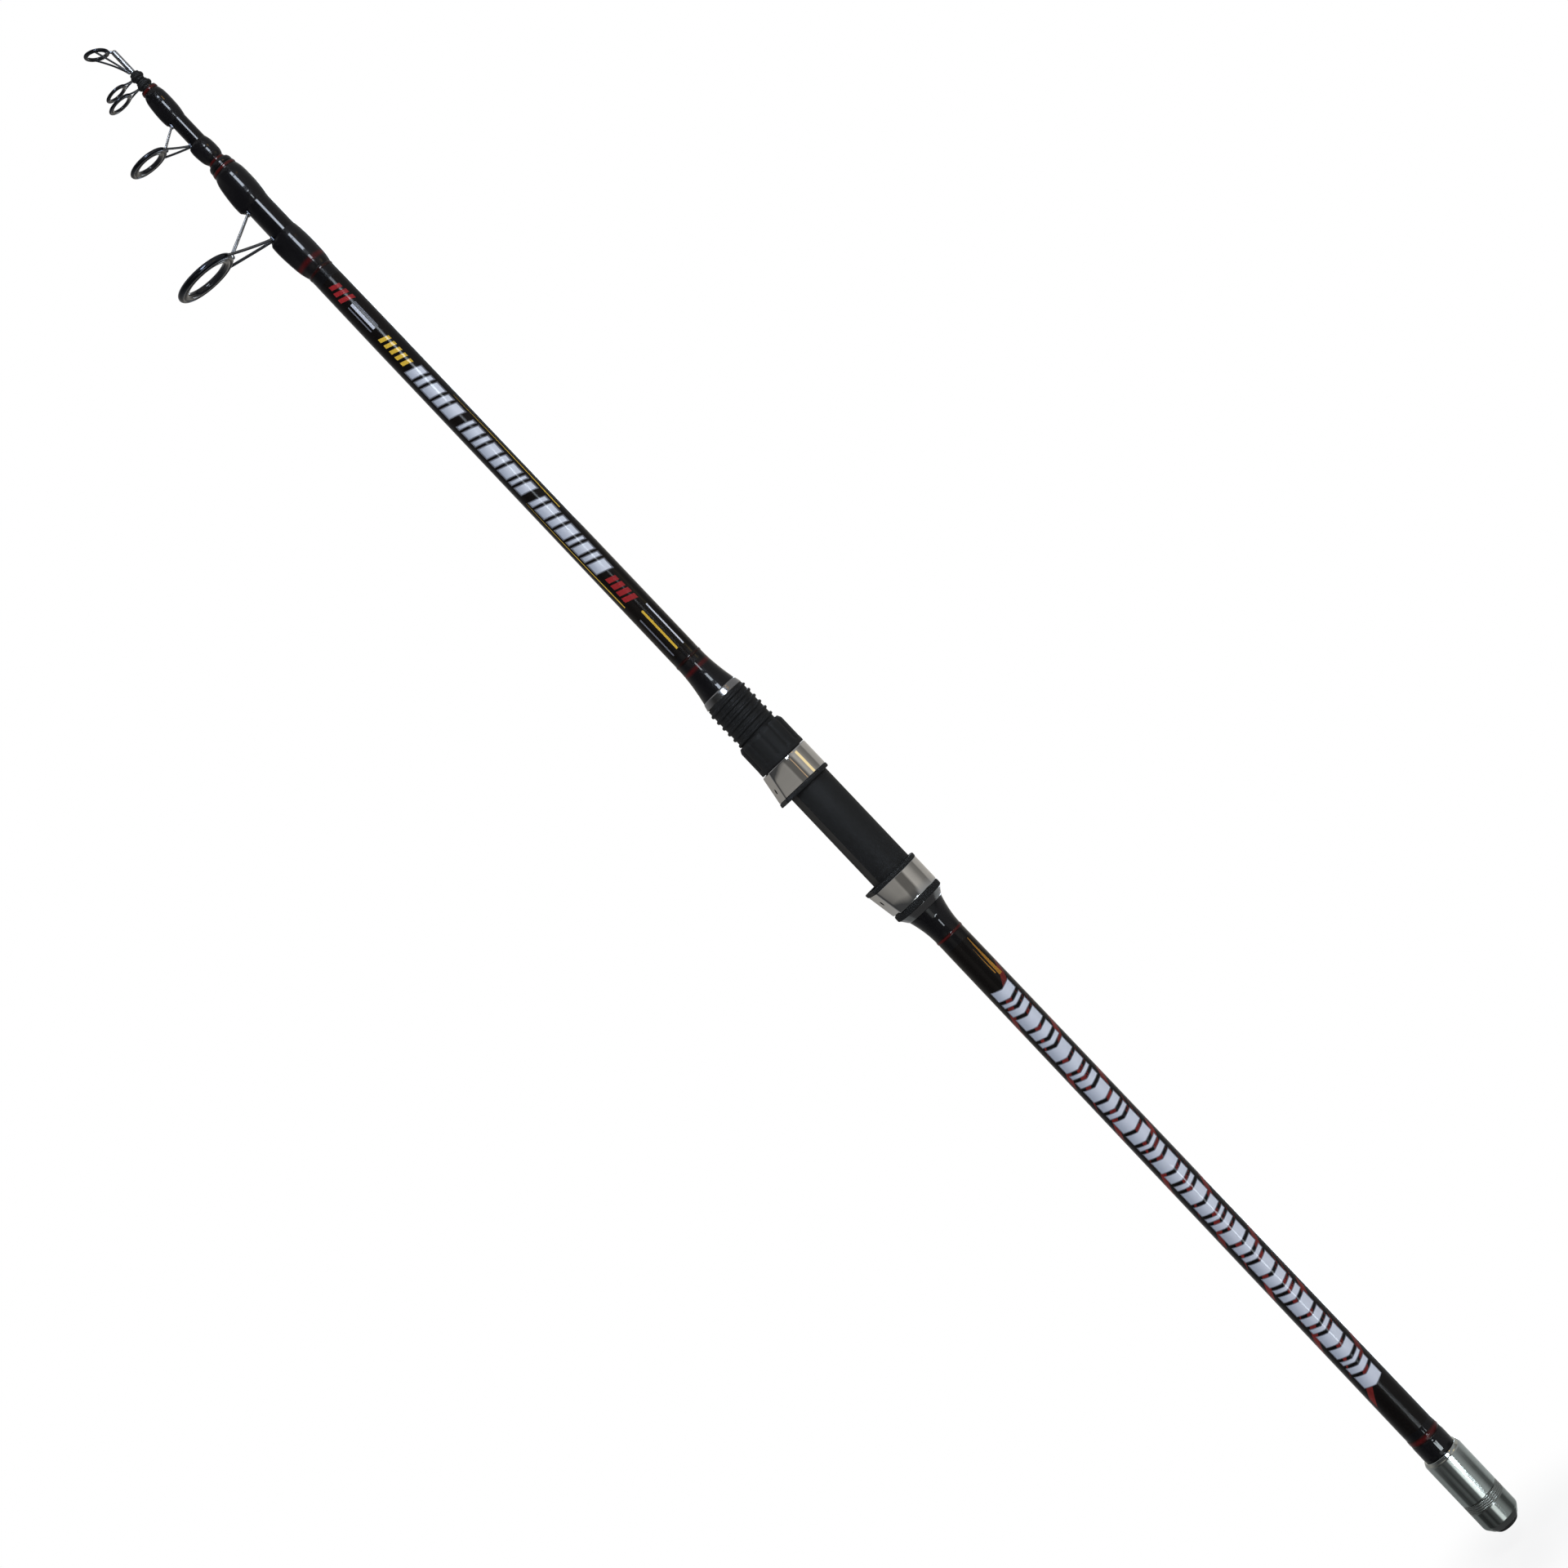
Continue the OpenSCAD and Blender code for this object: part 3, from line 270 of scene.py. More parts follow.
# Shader groups shared by several finishes
def newGroup(name, results, **given):
    group = bpy.data.node_groups.new(name, "ShaderNodeTree")
    for title, value in given.items():
        group.interface.new_socket(title, in_out="INPUT", socket_type="NodeSocketFloat").default_value = value
    for title in results:
        group.interface.new_socket(title, in_out="OUTPUT", socket_type="NodeSocketFloat")
    return group, addNode(group, "NodeGroupInput").outputs, addNode(group, "NodeGroupOutput").inputs


def mouldedGrainGroup():
    group, given, out = newGroup("mouldedGrain", ("grain", "blotch"), grainScale=2600.0, blotchScale=90.0)
    place = objectPlace(group)
    fine = addNode(group, "ShaderNodeTexNoise", {"Vector": place, "Scale": given["grainScale"], "Detail": 2.0})
    cells = addNode(group, "ShaderNodeTexVoronoi", {"Vector": place, "Scale": given["grainScale"]}).outputs["Distance"]
    blotch = addNode(group, "ShaderNodeTexNoise", {"Vector": place, "Scale": given["blotchScale"], "Detail": 4.0,
                                                   "Roughness": 0.6})
    feed(group, out["grain"], times(group, fine.outputs[0], plus(group, cells, 0.45)))
    feed(group, out["blotch"], blotch.outputs[0])
    return group


def turnedLinesGroup():
    group, given, out = newGroup("turnedLines", ("lines", "broad"), lineScale=5200.0, sideways=6.0)
    x, y, z = split(group, objectPlace(group))
    for title, share, detail in (("lines", 1.0, 3.0), ("broad", 0.12, 2.0)):
        wide, deep = [times(group, part, given["sideways"]) for part in (x, y)]
        spread = joined(group, wide, deep, times(group, z, given["lineScale"], share))
        noise = addNode(group, "ShaderNodeTexNoise", {"Vector": spread, "Scale": 1.0, "Detail": detail})
        feed(group, out[title], noise.outputs[0])
    return group


def handlingGroup():
    group, given, out = newGroup("handlingMarks", ("smudge", "edge"), smudgeScale=120.0)
    smudge = addNode(group, "ShaderNodeTexNoise", {"Vector": objectPlace(group), "Scale": given["smudgeScale"],
                                                   "Detail": 5.0, "Roughness": 0.62, "Distortion": 0.6})
    bend = addNode(group, "ShaderNodeNewGeometry").outputs["Pointiness"]
    feed(group, out["smudge"], ranged(group, smudge.outputs[0], 0.38, 0.7, 0.0, 1.0, True))
    feed(group, out["edge"], ranged(group, bend, 0.53, 0.60, 0.0, 1.0))
    return group


def ringMaskGroup():
    group, given, out = newGroup("ringMask", ("mask",), place=0.46, spread=0.002)
    away = sums(group, "ABSOLUTE", minus(group, split(group, objectPlace(group))[2], given["place"]))
    feed(group, out["mask"], ranged(group, away, 0.0, given["spread"], 1.0, 0.0, True))
    return group


mouldedGrain, turnedLines = mouldedGrainGroup(), turnedLinesGroup()
handlingMarks, ringMask = handlingGroup(), ringMaskGroup()


# Finishes: a base shader, then one function for each way that a surface is made
lacquerCoat = {"Coat Weight": 0.5, "Specular IOR Level": 0.08}


def newFinish(name, shader):
    mat, tree = freshMaterial(name)
    body = addNode(tree, "ShaderNodeBsdfPrincipled", shader)
    addNode(tree, "ShaderNodeOutputMaterial", {0: body.outputs[0]})
    return mat, tree, body.inputs


def placeGroup(tree, group, **values):
    return addNode(tree, "ShaderNodeGroup", values, node_tree=group).outputs


def mixed(tree, mask, under, over):
    ends = [c if isinstance(c, bpy.types.NodeSocket) else (*c, 1) for c in (under, over)]
    return addNode(tree, "ShaderNodeMix", {"Factor": mask, 6: ends[0], 7: ends[1]}, data_type="RGBA").outputs[2]


def raised(tree, body, height, depth, strength):
    bump = addNode(tree, "ShaderNodeBump", {"Height": height, "Distance": depth, "Strength": strength})
    feed(tree, body["Normal"], bump.outputs[0])


def ringsAt(tree, rings):
    masks = [placeGroup(tree, ringMask, place=height * mm, spread=spread * mm)["mask"] for height, spread in rings]
    return plus(tree, *masks, 0.0)


def mouldedFinish(name, dark, light, rough, scale, depth, strength, shader=None):
    mat, tree, body = newFinish(name, shader)
    grain = placeGroup(tree, mouldedGrain, grainScale=scale, blotchScale=70.0)
    edge = placeGroup(tree, handlingMarks, smudgeScale=150.0)["edge"]
    worn = plus(tree, grain["blotch"], times(tree, edge, 0.5))
    feed(tree, body["Base Color"], mixed(tree, worn, dark, light))
    feed(tree, body["Roughness"], ranged(tree, grain["blotch"], 0.3, 0.7, *rough))
    raised(tree, body, grain["grain"], depth, strength)
    return mat


def metalFinish(name, dark, light, rough, lineScale, depth, strength, knurls=()):
    mat, tree, body = newFinish(name, {"Metallic": 1.0})
    lines = placeGroup(tree, turnedLines, lineScale=lineScale, sideways=7.0)
    smudge = placeGroup(tree, handlingMarks, smudgeScale=95.0)["smudge"]
    dull = plus(tree, times(tree, lines["lines"], 0.55), times(tree, smudge, 0.45))
    dull = ranged(tree, dull, 0.1, 0.8, *rough)
    if knurls:  # knurling is duller
        dull = plus(tree, dull, times(tree, ringsAt(tree, knurls), 0.3))
    feed(tree, body["Base Color"], mixed(tree, lines["broad"], dark, light))
    feed(tree, body["Roughness"], dull)
    raised(tree, body, lines["lines"], depth, strength)
    return mat


def lacquerFinish(name, dark, light, rough, coatRough=0.03, overMask=None, over=None, threads=0):
    mat, tree, body = newFinish(name, lacquerCoat | {"Coat Roughness": coatRough})
    blotch = placeGroup(tree, mouldedGrain, grainScale=1500.0, blotchScale=120.0)["blotch"]
    smudge = placeGroup(tree, handlingMarks, smudgeScale=60.0)["smudge"]
    colour = mixed(tree, blotch, dark, light)
    if overMask:
        colour = mixed(tree, overMask(tree), colour, over)
    feed(tree, body["Base Color"], colour)
    feed(tree, body["Roughness"], ranged(tree, smudge, 0.0, 1.0, *rough))
    if threads:  # turns of thread under the lacquer, this far apart
        turns = sums(tree, "SINE", times(tree, split(tree, objectPlace(tree))[2], 2 * pi / threads))
        raised(tree, body, turns, 0.00003, 0.12)
    return mat


def foamFinish(name, dark, light):
    mat, tree, body = newFinish(name, {"Roughness": 0.9})
    cells = addNode(tree, "ShaderNodeTexVoronoi", {"Vector": objectPlace(tree), "Scale": 1400.0}).outputs["Distance"]
    feed(tree, body["Base Color"], mixed(tree, cells, dark, light))
    raised(tree, body, cells, 0.0002, 0.6)
    return mat


def filmFinish(name, dark, light):
    mat, tree, body = newFinish(name, {"Specular IOR Level": 0.24})
    grain = placeGroup(tree, mouldedGrain, grainScale=2200.0, blotchScale=45.0)
    feed(tree, body["Base Color"], mixed(tree, grain["blotch"], dark, light))
    feed(tree, body["Roughness"], ranged(tree, grain["grain"], 0.1, 0.8, 0.10, 0.22))
    return mat


def bandFinish(name, edge, heart):
    mat, tree, body = newFinish(name, lacquerCoat | {"Coat Roughness": 0.03})
    blotch = placeGroup(tree, mouldedGrain, grainScale=1500.0, blotchScale=140.0)["blotch"]
    depth = addNode(tree, "ShaderNodeAttribute", attribute_name="bandDepth").outputs["Fac"]
    glow = times(tree, depth, ranged(tree, blotch, 0.2, 0.8, 0.7, 1.15))
    feed(tree, body["Base Color"], mixed(tree, glow, edge, heart))
    feed(tree, body["Roughness"], ranged(tree, blotch, 0.3, 0.7, 0.2, 0.34))
    return mat


def threadGlow(tree):
    return ringsAt(tree, [(460.0, 1.5), (678.2, 1.7)])  # red threads under the lacquer: height, spread


# painted shade: the share of the silver print that turns greyer, on the side towards the guides
def paintedShadeTowardsGuides(tree):
    x, y = split(tree, objectPlace(tree))[:2]
    return ranged(tree, sums(tree, "ARCTAN2", sums(tree, "ABSOLUTE", y), x), 1.5, 2.5, 0.0, 1.0, True)


metals = dict(  # darker and lighter tone, roughness from and to, scale, depth and strength of the turned lines
    buttSteel=((0.50, 0.54, 0.53), (0.62, 0.66, 0.65), (0.06, 0.11), 5200.0, 0.00001, 0.03),
    capSteel=((0.33, 0.355, 0.345), (0.41, 0.435, 0.425), (0.06, 0.11), 5200.0, 0.00001, 0.03, [(14.7, 3.2)]),
    satinTrim=((0.26, 0.26, 0.265), (0.36, 0.36, 0.37), (0.14, 0.22), 4200.0, 0.00002, 0.08),
    hoodChrome=((0.58, 0.585, 0.59), (0.66, 0.665, 0.67), (0.03, 0.075), 2600.0, 0.00001, 0.02),
    guideMetal=((0.10, 0.11, 0.13), (0.18, 0.195, 0.225), (0.14, 0.26), 3000.0, 0.00002, 0.06),
    guideRim=((0.030, 0.033, 0.042), (0.060, 0.066, 0.080), (0.12, 0.24), 3000.0, 0.00002, 0.05),
    # litGuideWire: the guide metal made lighter for the prongs and the weld, a painted highlight
    litGuideWire=((0.26, 0.27, 0.29), (0.36, 0.37, 0.39), (0.34, 0.44), 3000.0, 0.00001, 0.03),
    # litTipTube: the guide metal made lighter for the tip ring's tube, a painted highlight
    litTipTube=((0.27, 0.28, 0.30), (0.38, 0.39, 0.41), (0.32, 0.42), 4600.0, 0.00001, 0.05))
lacquers = dict(  # darker and lighter tone, roughness from and to, the coat's, mask and colour over it, thread gap
    ringCeramic=((0.006, 0.006, 0.008), (0.016, 0.017, 0.020), (0.10, 0.22), 0.02),
    blankLacquer=((0.002, 0.002, 0.003), (0.005, 0.005, 0.006), (0.22, 0.34), 0.02),
    # paintedWarmReflection: amber bars by the seat, a painted reflection of the warm lamp
    paintedWarmReflection=((0.24, 0.10, 0.012), (0.46, 0.22, 0.03), (0.20, 0.32), 0.02),
    windingLacquer=((0.003, 0.003, 0.004), (0.006, 0.0055, 0.007), (0.30, 0.42), 0.03, threadGlow,
                    (0.052, 0.002, 0.003), 0.22 * mm),
    printStreak=((0.07, 0.006, 0.006), (0.24, 0.022, 0.018), (0.24, 0.38)),
    # printSilver: greyer towards the guides, painted shade
    printSilver=((0.58, 0.62, 0.73), (0.70, 0.74, 0.84), (0.26, 0.40), 0.03, paintedShadeTowardsGuides, (0.34, 0.38, 0.47)),
    printShade=((0.10, 0.11, 0.14), (0.18, 0.19, 0.23), (0.26, 0.40)),
    printRed=((0.20, 0.010, 0.014), (0.36, 0.020, 0.024), (0.24, 0.38)),
    printYellow=((0.55, 0.34, 0.03), (0.74, 0.50, 0.06), (0.24, 0.38)))
finishes = {name: metalFinish(name, *values) for name, values in metals.items()}
finishes.update({name: lacquerFinish(name, *values) for name, values in lacquers.items()})
finishes.update(
    rubber=mouldedFinish("rubber", (0.008, 0.008, 0.008), (0.022, 0.022, 0.022), (0.62, 0.85), 2400.0, 0.0001, 0.35),
    seatPlastic=mouldedFinish("seatPlastic", (0.0075, 0.0082, 0.009), (0.0135, 0.0145, 0.016), (0.55, 0.68), 3800.0,
                              0.00005, 0.2, {"Specular IOR Level": 0.22}),
    arborFoam=foamFinish("arborFoam", (0.05, 0.05, 0.055), (0.16, 0.16, 0.17)),
    printFilm=filmFinish("printFilm", (0.0022, 0.0021, 0.0022), (0.0065, 0.0048, 0.0045)),
    redTrim=bandFinish("redTrim", (0.003, 0.0015, 0.0015), (0.062, 0.0025, 0.003)))
print("rod: finishes mixed")


# Mesh helpers: lengths in millimetres until the mesh is made
weldGap = 2e-7  # points closer than this, in metres, become one
tiny = 1e-6


def finished(name, mesh, finish, sharp):
    work = bmesh.new()
    work.from_mesh(mesh)
    bmesh.ops.remove_doubles(work, verts=work.verts, dist=weldGap)
    bmesh.ops.recalc_face_normals(work, faces=work.faces)
    work.to_mesh(mesh)
    work.free()
    mesh.name = name
    mesh.polygons.foreach_set("use_smooth", [True] * len(mesh.polygons))
    mesh.set_sharp_from_angle(angle=radians(sharp))
    mesh.materials.clear()
    mesh.materials.append(finishes[finish])
    return linked(name, mesh)


def shaped(name, parts, finish, sharp=32):
    verts, faces = [], []
    for partVerts, partFaces in parts:
        faces += [[i + len(verts) for i in face] for face in partFaces]
        verts += [Vector(v) * mm for v in partVerts]
    mesh = bpy.data.meshes.new(name)
    mesh.from_pydata(verts, [], faces)
    return finished(name, mesh, finish, sharp)


def belongs(piece, finish, body, *nodes):
    if nodes:
        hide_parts(*nodes)
    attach(piece, body)


def addPiece(name, parts, finish, body, *nodes, sharp=32):
    belongs(shaped(name, parts, finish, sharp), finish, body, *nodes)


def evaluated(made):
    bpy.context.view_layer.update()
    return bpy.data.meshes.new_from_object(made.evaluated_get(bpy.context.evaluated_depsgraph_get()))


def grown(name, start, tree, finish, sharp=32, **inputs):
    modifier = start.modifiers.new("tree", "NODES")
    modifier.node_group = tree
    inputs["finish"] = finishes[finish]
    for item in tree.interface.items_tree:
        if item.item_type == "SOCKET" and item.in_out == "INPUT" and item.name in inputs:
            modifier[item.identifier] = inputs[item.name]
    mesh = evaluated(start)
    bpy.data.objects.remove(start)
    return finished(name, mesh, finish, sharp)


def metres(**lengths):
    return {name: length * mm for name, length in lengths.items()}


def eased(points, closed=True, steps=4):
    # a point's third number is how far its corner is rounded
    made = []
    for i, (x, y, *ease) in enumerate(points):
        here = Vector((x, y))
        if not ease or (not closed and i in (0, len(points) - 1)):
            made.append(tuple(here))
            continue
        back = Vector(points[i - 1][:2]) - here
        ahead = Vector(points[(i + 1) % len(points)][:2]) - here
        start = here + back.normalized() * min(ease[0], back.length * 0.49)
        end = here + ahead.normalized() * min(ease[0], ahead.length * 0.49)
        for k in range(steps + 1):
            t = k / steps
            made.append(tuple((1 - t) ** 2 * start + 2 * t * (1 - t) * here + t * t * end))
    return made


def between(rings, loop):
    verts = [p for ring in rings for p in ring]
    around, faces = len(rings[0]), []
    for j in range(len(rings) if loop else len(rings) - 1):
        k = (j + 1) % len(rings)
        for i in range(around):
            n = (i + 1) % around
            faces.append((j * around + i, j * around + n, k * around + n, k * around + i))
    if not loop:
        faces += [list(range(around))[::-1], [(len(rings) - 1) * around + i for i in range(around)]]
    return verts, faces


def held(profile, closed, plain=1.2, inset=0.15):
    # a ring near each end of a long plain length keeps its shading straight
    points = []
    for i, (r, z) in enumerate(profile):
        points.append((r, z))
        if i + 1 == len(profile) and not closed:
            break
        r2, z2 = profile[(i + 1) % len(profile)]
        long = hypot(r2 - r, z2 - z)
        if long > plain and min(r, r2) > 0.1:
            points += [(r + (r2 - r) * t, z + (z2 - z) * t) for t in (inset / long, 1 - inset / long)]
    return points


def turned(profile, steps=72):
    poles = profile[0][0] < tiny and profile[-1][0] < tiny
    profile = held(profile, not poles)
    verts, faces = between([[(r * x, r * y, z) for x, y in circle(steps)] for r, z in profile], True)
    return (verts, faces[:(len(profile) - 1) * steps]) if poles else (verts, faces)


def smooth(t):
    t = min(1, max(0, t))
    return t * t * (3 - 2 * t)


# Geometry trees: every tree takes its lengths and a finish, and ends with a real, painted mesh
def geometryTree(name, *lengths, startMesh=True):
    tree = bpy.data.node_groups.new(name, "GeometryNodeTree")
    kinds = [("mesh", "NodeSocketGeometry")] if startMesh else []
    for title, kind in kinds + [(title, "NodeSocketFloat") for title in lengths] + [("finish", "NodeSocketMaterial")]:
        tree.interface.new_socket(title, in_out="INPUT", socket_type=kind)
    tree.interface.new_socket("mesh", in_out="OUTPUT", socket_type="NodeSocketGeometry")
    return tree, addNode(tree, "NodeGroupInput").outputs


def closeTree(tree, given, made):
    real = addNode(tree, "GeometryNodeRealizeInstances", {0: made.outputs[0]})
    painted = addNode(tree, "GeometryNodeSetMaterial", {"Geometry": real.outputs[0], "Material": given["finish"]})
    addNode(tree, "NodeGroupOutput", {0: painted.outputs[0]})
    return tree


def meshPlace(tree):
    return addNode(tree, "GeometryNodeInputPosition").outputs[0]


def aroundAxis(tree, radius, turn, z):
    x = times(tree, radius, sums(tree, "COSINE", turn))
    return joined(tree, x, times(tree, radius, sums(tree, "SINE", turn)), z)


# Tree that presses flutes, ribs or knurling into a turned rim
fluteFade = 0.2 * mm  # outward from the inside radius, until the press is whole


def rimFlutesTree():
    tree, given = geometryTree("rimFlutes", "count", "depth", "narrowness", "low", "high", "ease", "inside", "halfStep")
    x, y, z = split(tree, meshPlace(tree))
    turn = times(tree, sums(tree, "ARCTAN2", y, x), given["count"])
    turn = plus(tree, turn, times(tree, given["halfStep"], pi))
    radius = sums(tree, "SQRT", plus(tree, times(tree, x, x), times(tree, y, y)))
    wave = plus(tree, times(tree, sums(tree, "COSINE", turn), 0.5), 0.5)
    wave = sums(tree, "POWER", wave, given["narrowness"])
    rise = ranged(tree, z, given["low"], plus(tree, given["low"], given["ease"]), 0.0, 1.0, True)
    fall = ranged(tree, z, minus(tree, given["high"], given["ease"]), given["high"], 1.0, 0.0, True)
    rim = ranged(tree, radius, given["inside"], plus(tree, given["inside"], fluteFade), 0.0, 1.0)
    press = times(tree, wave, rise, fall, rim, given["depth"], -1.0)
    outward = addNode(tree, "ShaderNodeVectorMath", {0: joined(tree, x, y)}, operation="NORMALIZE").outputs[0]
    offset = addNode(tree, "ShaderNodeVectorMath", {0: outward, "Scale": press}, operation="SCALE").outputs[0]
    moved = addNode(tree, "GeometryNodeSetPosition", {"Geometry": given["mesh"], "Offset": offset})
    return closeTree(tree, given, moved)


rimFlutes = rimFlutesTree()

# Radii of the blanks and of their bores, by height
buttTaper = [(23, 6.87), (333.6, 6.1), (640, 5.64), (729, 5.2)]
buttBore = [(23, 5.5), (644, 4.6), (664, 4.3), (729, 4.195)]
midTaper = [(234, 4.25), (771.3, 3.38)]
midBore = [(234, 3.35), (701.3, 2.95), (721.3, 2.65), (771.3, 2.458)]
tipTaper = [(298.9, 2.6), (789.3, 0.72)]

# Butt end: pad, screwed cap, sleeve
endPadSize = dict(face=4.7, rim=6.3, seat=1.9, deep=3.36, ridge=0.25, hub=0.9, ringFrom=2.15, ringTo=2.8, slope=0.25)


def makeEndPad(face, rim, seat, deep, ridge, hub, ringFrom, ringTo, slope):
    pad = [(0, ridge), (hub, ridge), (hub + slope, 0, 0.1), (ringFrom - slope, 0, 0.1), (ringFrom, ridge, 0.1),
           (ringTo, ridge, 0.1), (ringTo + slope, 0, 0.1), (face, 0, 0.35), (rim, seat - 0.02, 0.25),
           (rim - 0.02, deep), (0, deep)]
    addPiece("endPad", [turned(eased(pad, False))], "rubber", "end_pad", "end_pad")


endCapSize = dict(rim=8.45, low=1.9, shoulder=4.6, top=16.7, seat=6.3, seatFloor=3.4, spigot=5.92, spigotTop=21.8,
                  bore=4.42, floor=12.68, grooves=5, firstGroove=12.65, pitch=0.9, wide=0.45, deep=0.25, knurls=96,
                  knurlDeep=0.09)


def makeEndCap(rim, low, shoulder, top, seat, seatFloor, spigot, spigotTop, bore, floor, grooves, firstGroove, pitch,
               wide, deep, knurls, knurlDeep):
    cap = [(0, seatFloor), (seat, seatFloor), (seat, low), (seat + 0.2, low, 0.15), (rim, shoulder, 0.6),
           (rim, firstGroove - 0.3)]
    for i in range(grooves):
        z, root = firstGroove + i * pitch, rim - deep
        cap += [(rim, z, 0.05), (root, z + 0.05, 0.04), (root, z + wide - 0.05, 0.04), (rim, z + wide, 0.05)]
    cap[-1] = (rim - 0.12, top - 0.02, 0.08)
    cap += [(spigot, top), (spigot, spigotTop, 0.3), (bore, spigotTop, 0.1), (bore, floor), (0, floor)]
    start = shaped("endCapTurned", [turned(eased(cap, False, 2), 384)], "buttSteel")
    knurl = metres(depth=knurlDeep, low=firstGroove - 0.05, high=top + 0.1, ease=0.1, inside=rim - 0.2)
    cut = grown("endCap", start, rimFlutes, "capSteel", count=knurls, narrowness=1.0, halfStep=0.0, **knurl)
    belongs(cut, "capSteel", "end_cap", "end_cap")


sleeveSize = dict(low=16.9, top=39.0, rim=8.45, nose=7.65, noseFrom=37.6, counterbore=6.0, counterTop=23.0, blank=6.85)


def makeSleeve(low, top, rim, nose, noseFrom, counterbore, counterTop, blank):
    sleeve = [(rim, low, 0.15), (rim, noseFrom, 0.5), (nose, top, 0.2), (blank, top), (blank + 0.04, counterTop),
              (counterbore, counterTop), (counterbore, low)]
    addPiece("buttSleeve", [turned(eased(sleeve), 96)], "buttSteel", "butt", "butt_sleeve")


makeEndPad(**endPadSize)
makeEndCap(**endCapSize)
makeSleeve(**sleeveSize)

# Blanks, bands, the short butt winding, flares and trim rings
tipStations = (298.95, 400, 500, 600, 700, 789.2)
buttBands = [(47.16, 50.16), (316.28, 317.78), (464.22, 465.72), (672.48, 673.98), (727.22, 728.72)]
midBands = [(731.62, 733.12), (769.52, 771.02)]
bandRise = [0.02, 0.10, 0.15, 0.18, 0.19, 0.2, 0.19, 0.18, 0.15, 0.10, 0.02]  # above the blank, along a band
bandGlow = {464.22: 0.2, 672.48: 0.25}  # how red a band is, where it is not full
trimRingSize = dict(
    rearTrimRing=[(6.08, 330.52), (8.28, 330.52, 0.12), (8.75, 331.0, 0.3), (10.35, 333.2, 0.3), (10.7, 333.56, 0.12),
                  (6.08, 333.56)],
    frontTrimRing=[(5.9, 447.68), (7.88, 447.68, 0.1), (8.2, 447.2, 0.25), (8.72, 445.1, 0.25), (8.8, 444.64, 0.1),
                   (5.9, 444.64)])
stopCollar = [(4.95, 729.22, 0.12), (5.05, 729.4, 0.15), (5.0, 730.7, 0.3), (4.55, 731.58, 0.2)]
underside, bandUnderside = 0.03, 0.04  # how far a ring's or a band's inside reaches into the blank


def tubePiece(taper, bore, steps=64, stations=24):
    low, top = taper[0][0], taper[-1][0]
    zs = sorted({low + (top - low) * i / stations for i in range(stations + 1)} | {z for z, r in taper + bore})
    wall = [(at(taper, z), z) for z in zs] + [(at(bore, z), z) for z in reversed(zs)]
    wall[0] = (wall[0][0] - 0.06, wall[0][1])  # the lower edge is broken
    return turned(wall, steps)


buttWindingSize = dict(low=39.04, top=47.1, proud=0.26, ease=0.9)


def windingBand(taper, low, top, proud, ease):
    lowRadius, topRadius = at(taper, low), at(taper, top)
    band = [(lowRadius - bandUnderside, low), (lowRadius + proud * 0.35, low, ease * 0.3),
            (lowRadius + proud, low + ease, ease), (topRadius + proud, top - ease, ease),
            (topRadius + proud * 0.35, top, ease * 0.3), (topRadius - bandUnderside, top)]
    return turned(eased(band))


def trimBands(name, taper, bands, steps, body, node):
    parts = []
    for low, top in bands:
        stops = [low + (top - low) * i / (len(bandRise) - 1) for i in range(len(bandRise))]
        wall = [(at(taper, z) + r, z) for z, r in zip(stops, bandRise)]
        parts.append(turned(wall + [(at(taper, z) - bandUnderside, z) for z in (top, low)], steps))
    piece = shaped(name, parts, "redTrim")
    depths = []
    for v in piece.data.vertices:
        low, top = min(bands, key=lambda band: abs((band[0] + band[1]) / 2 - v.co.z / mm))
        depths.append(sin(pi * min(1, max(0, (v.co.z / mm - low) / (top - low)))) ** 1.3 * bandGlow.get(low, 1.0))
    piece.data.attributes.new("bandDepth", "FLOAT", "POINT").data.foreach_set("value", depths)
    belongs(piece, "redTrim", body, node)


flareSize = dict(rearFlare=dict(narrowZ=317.8, wideZ=330.48, wide=8.3),
                 frontFlare=dict(narrowZ=464.2, wideZ=447.72, wide=7.9))


def flareRing(narrowZ, wideZ, wide, bend=1.8, steps=16):
    narrow = at(buttTaper, narrowZ) + 0.02
    curve = [(narrow + (wide - narrow) * (i / steps) ** bend, narrowZ + (wideZ - narrowZ) * i / steps)
             for i in range(steps + 1)]
    return turned(curve + [(at(buttTaper, z) - underside, z) for z in (wideZ, narrowZ)], 96)


def makeSections():
    addPiece("buttBlank", [tubePiece(buttTaper, buttBore)], "blankLacquer", "butt", "butt_blank")
    addPiece("midBlank", [tubePiece(midTaper, midBore, 48)], "blankLacquer", "mid", "mid_blank")
    low, top = tipTaper[0][0], tipTaper[-1][0]
    tip = [(0, low)] + [(at(tipTaper, z), z) for z in tipStations] + [(0, top)]
    addPiece("tipBlank", [turned(tip, 32)], "blankLacquer", "tip", "tip_blank")
    trimBands("buttTrimBands", buttTaper, buttBands, 64, "butt", "butt_trim_bands")
    trimBands("midTrimBands", midTaper, midBands, 48, "mid", "mid_trim_bands")
    addPiece("buttWinding", [windingBand(buttTaper, **buttWindingSize)], "windingLacquer", "butt", "butt_wrap")
    for name, node in (("rearFlare", "rear_flare"), ("frontFlare", "front_flare")):
        addPiece(name, [flareRing(**flareSize[name])], "windingLacquer", "butt", node)
    for name, node in (("rearTrimRing", "rear_trim_ring"), ("frontTrimRing", "front_trim_ring")):
        addPiece(name, [turned(eased(trimRingSize[name]), 96)], "satinTrim", "butt", node)
    low, top = [(at(midTaper, z) - underside, z) for r, z, ease in (stopCollar[0], stopCollar[-1])]
    collar = turned(eased([low] + stopCollar + [top]), 64)
    addPiece("midStopCollar", [collar], "windingLacquer", "mid", "mid_stop_collar")


makeSections()
print("rod: butt end, blanks and trims made")


# Reel seat: flange, barrel with its bed and keyway, thread, hoods and lock nut
flangeSize = dict(low=333.62, top=336.36, inner=9.58, rim=11.25, ribs=72, ribDeep=0.16)


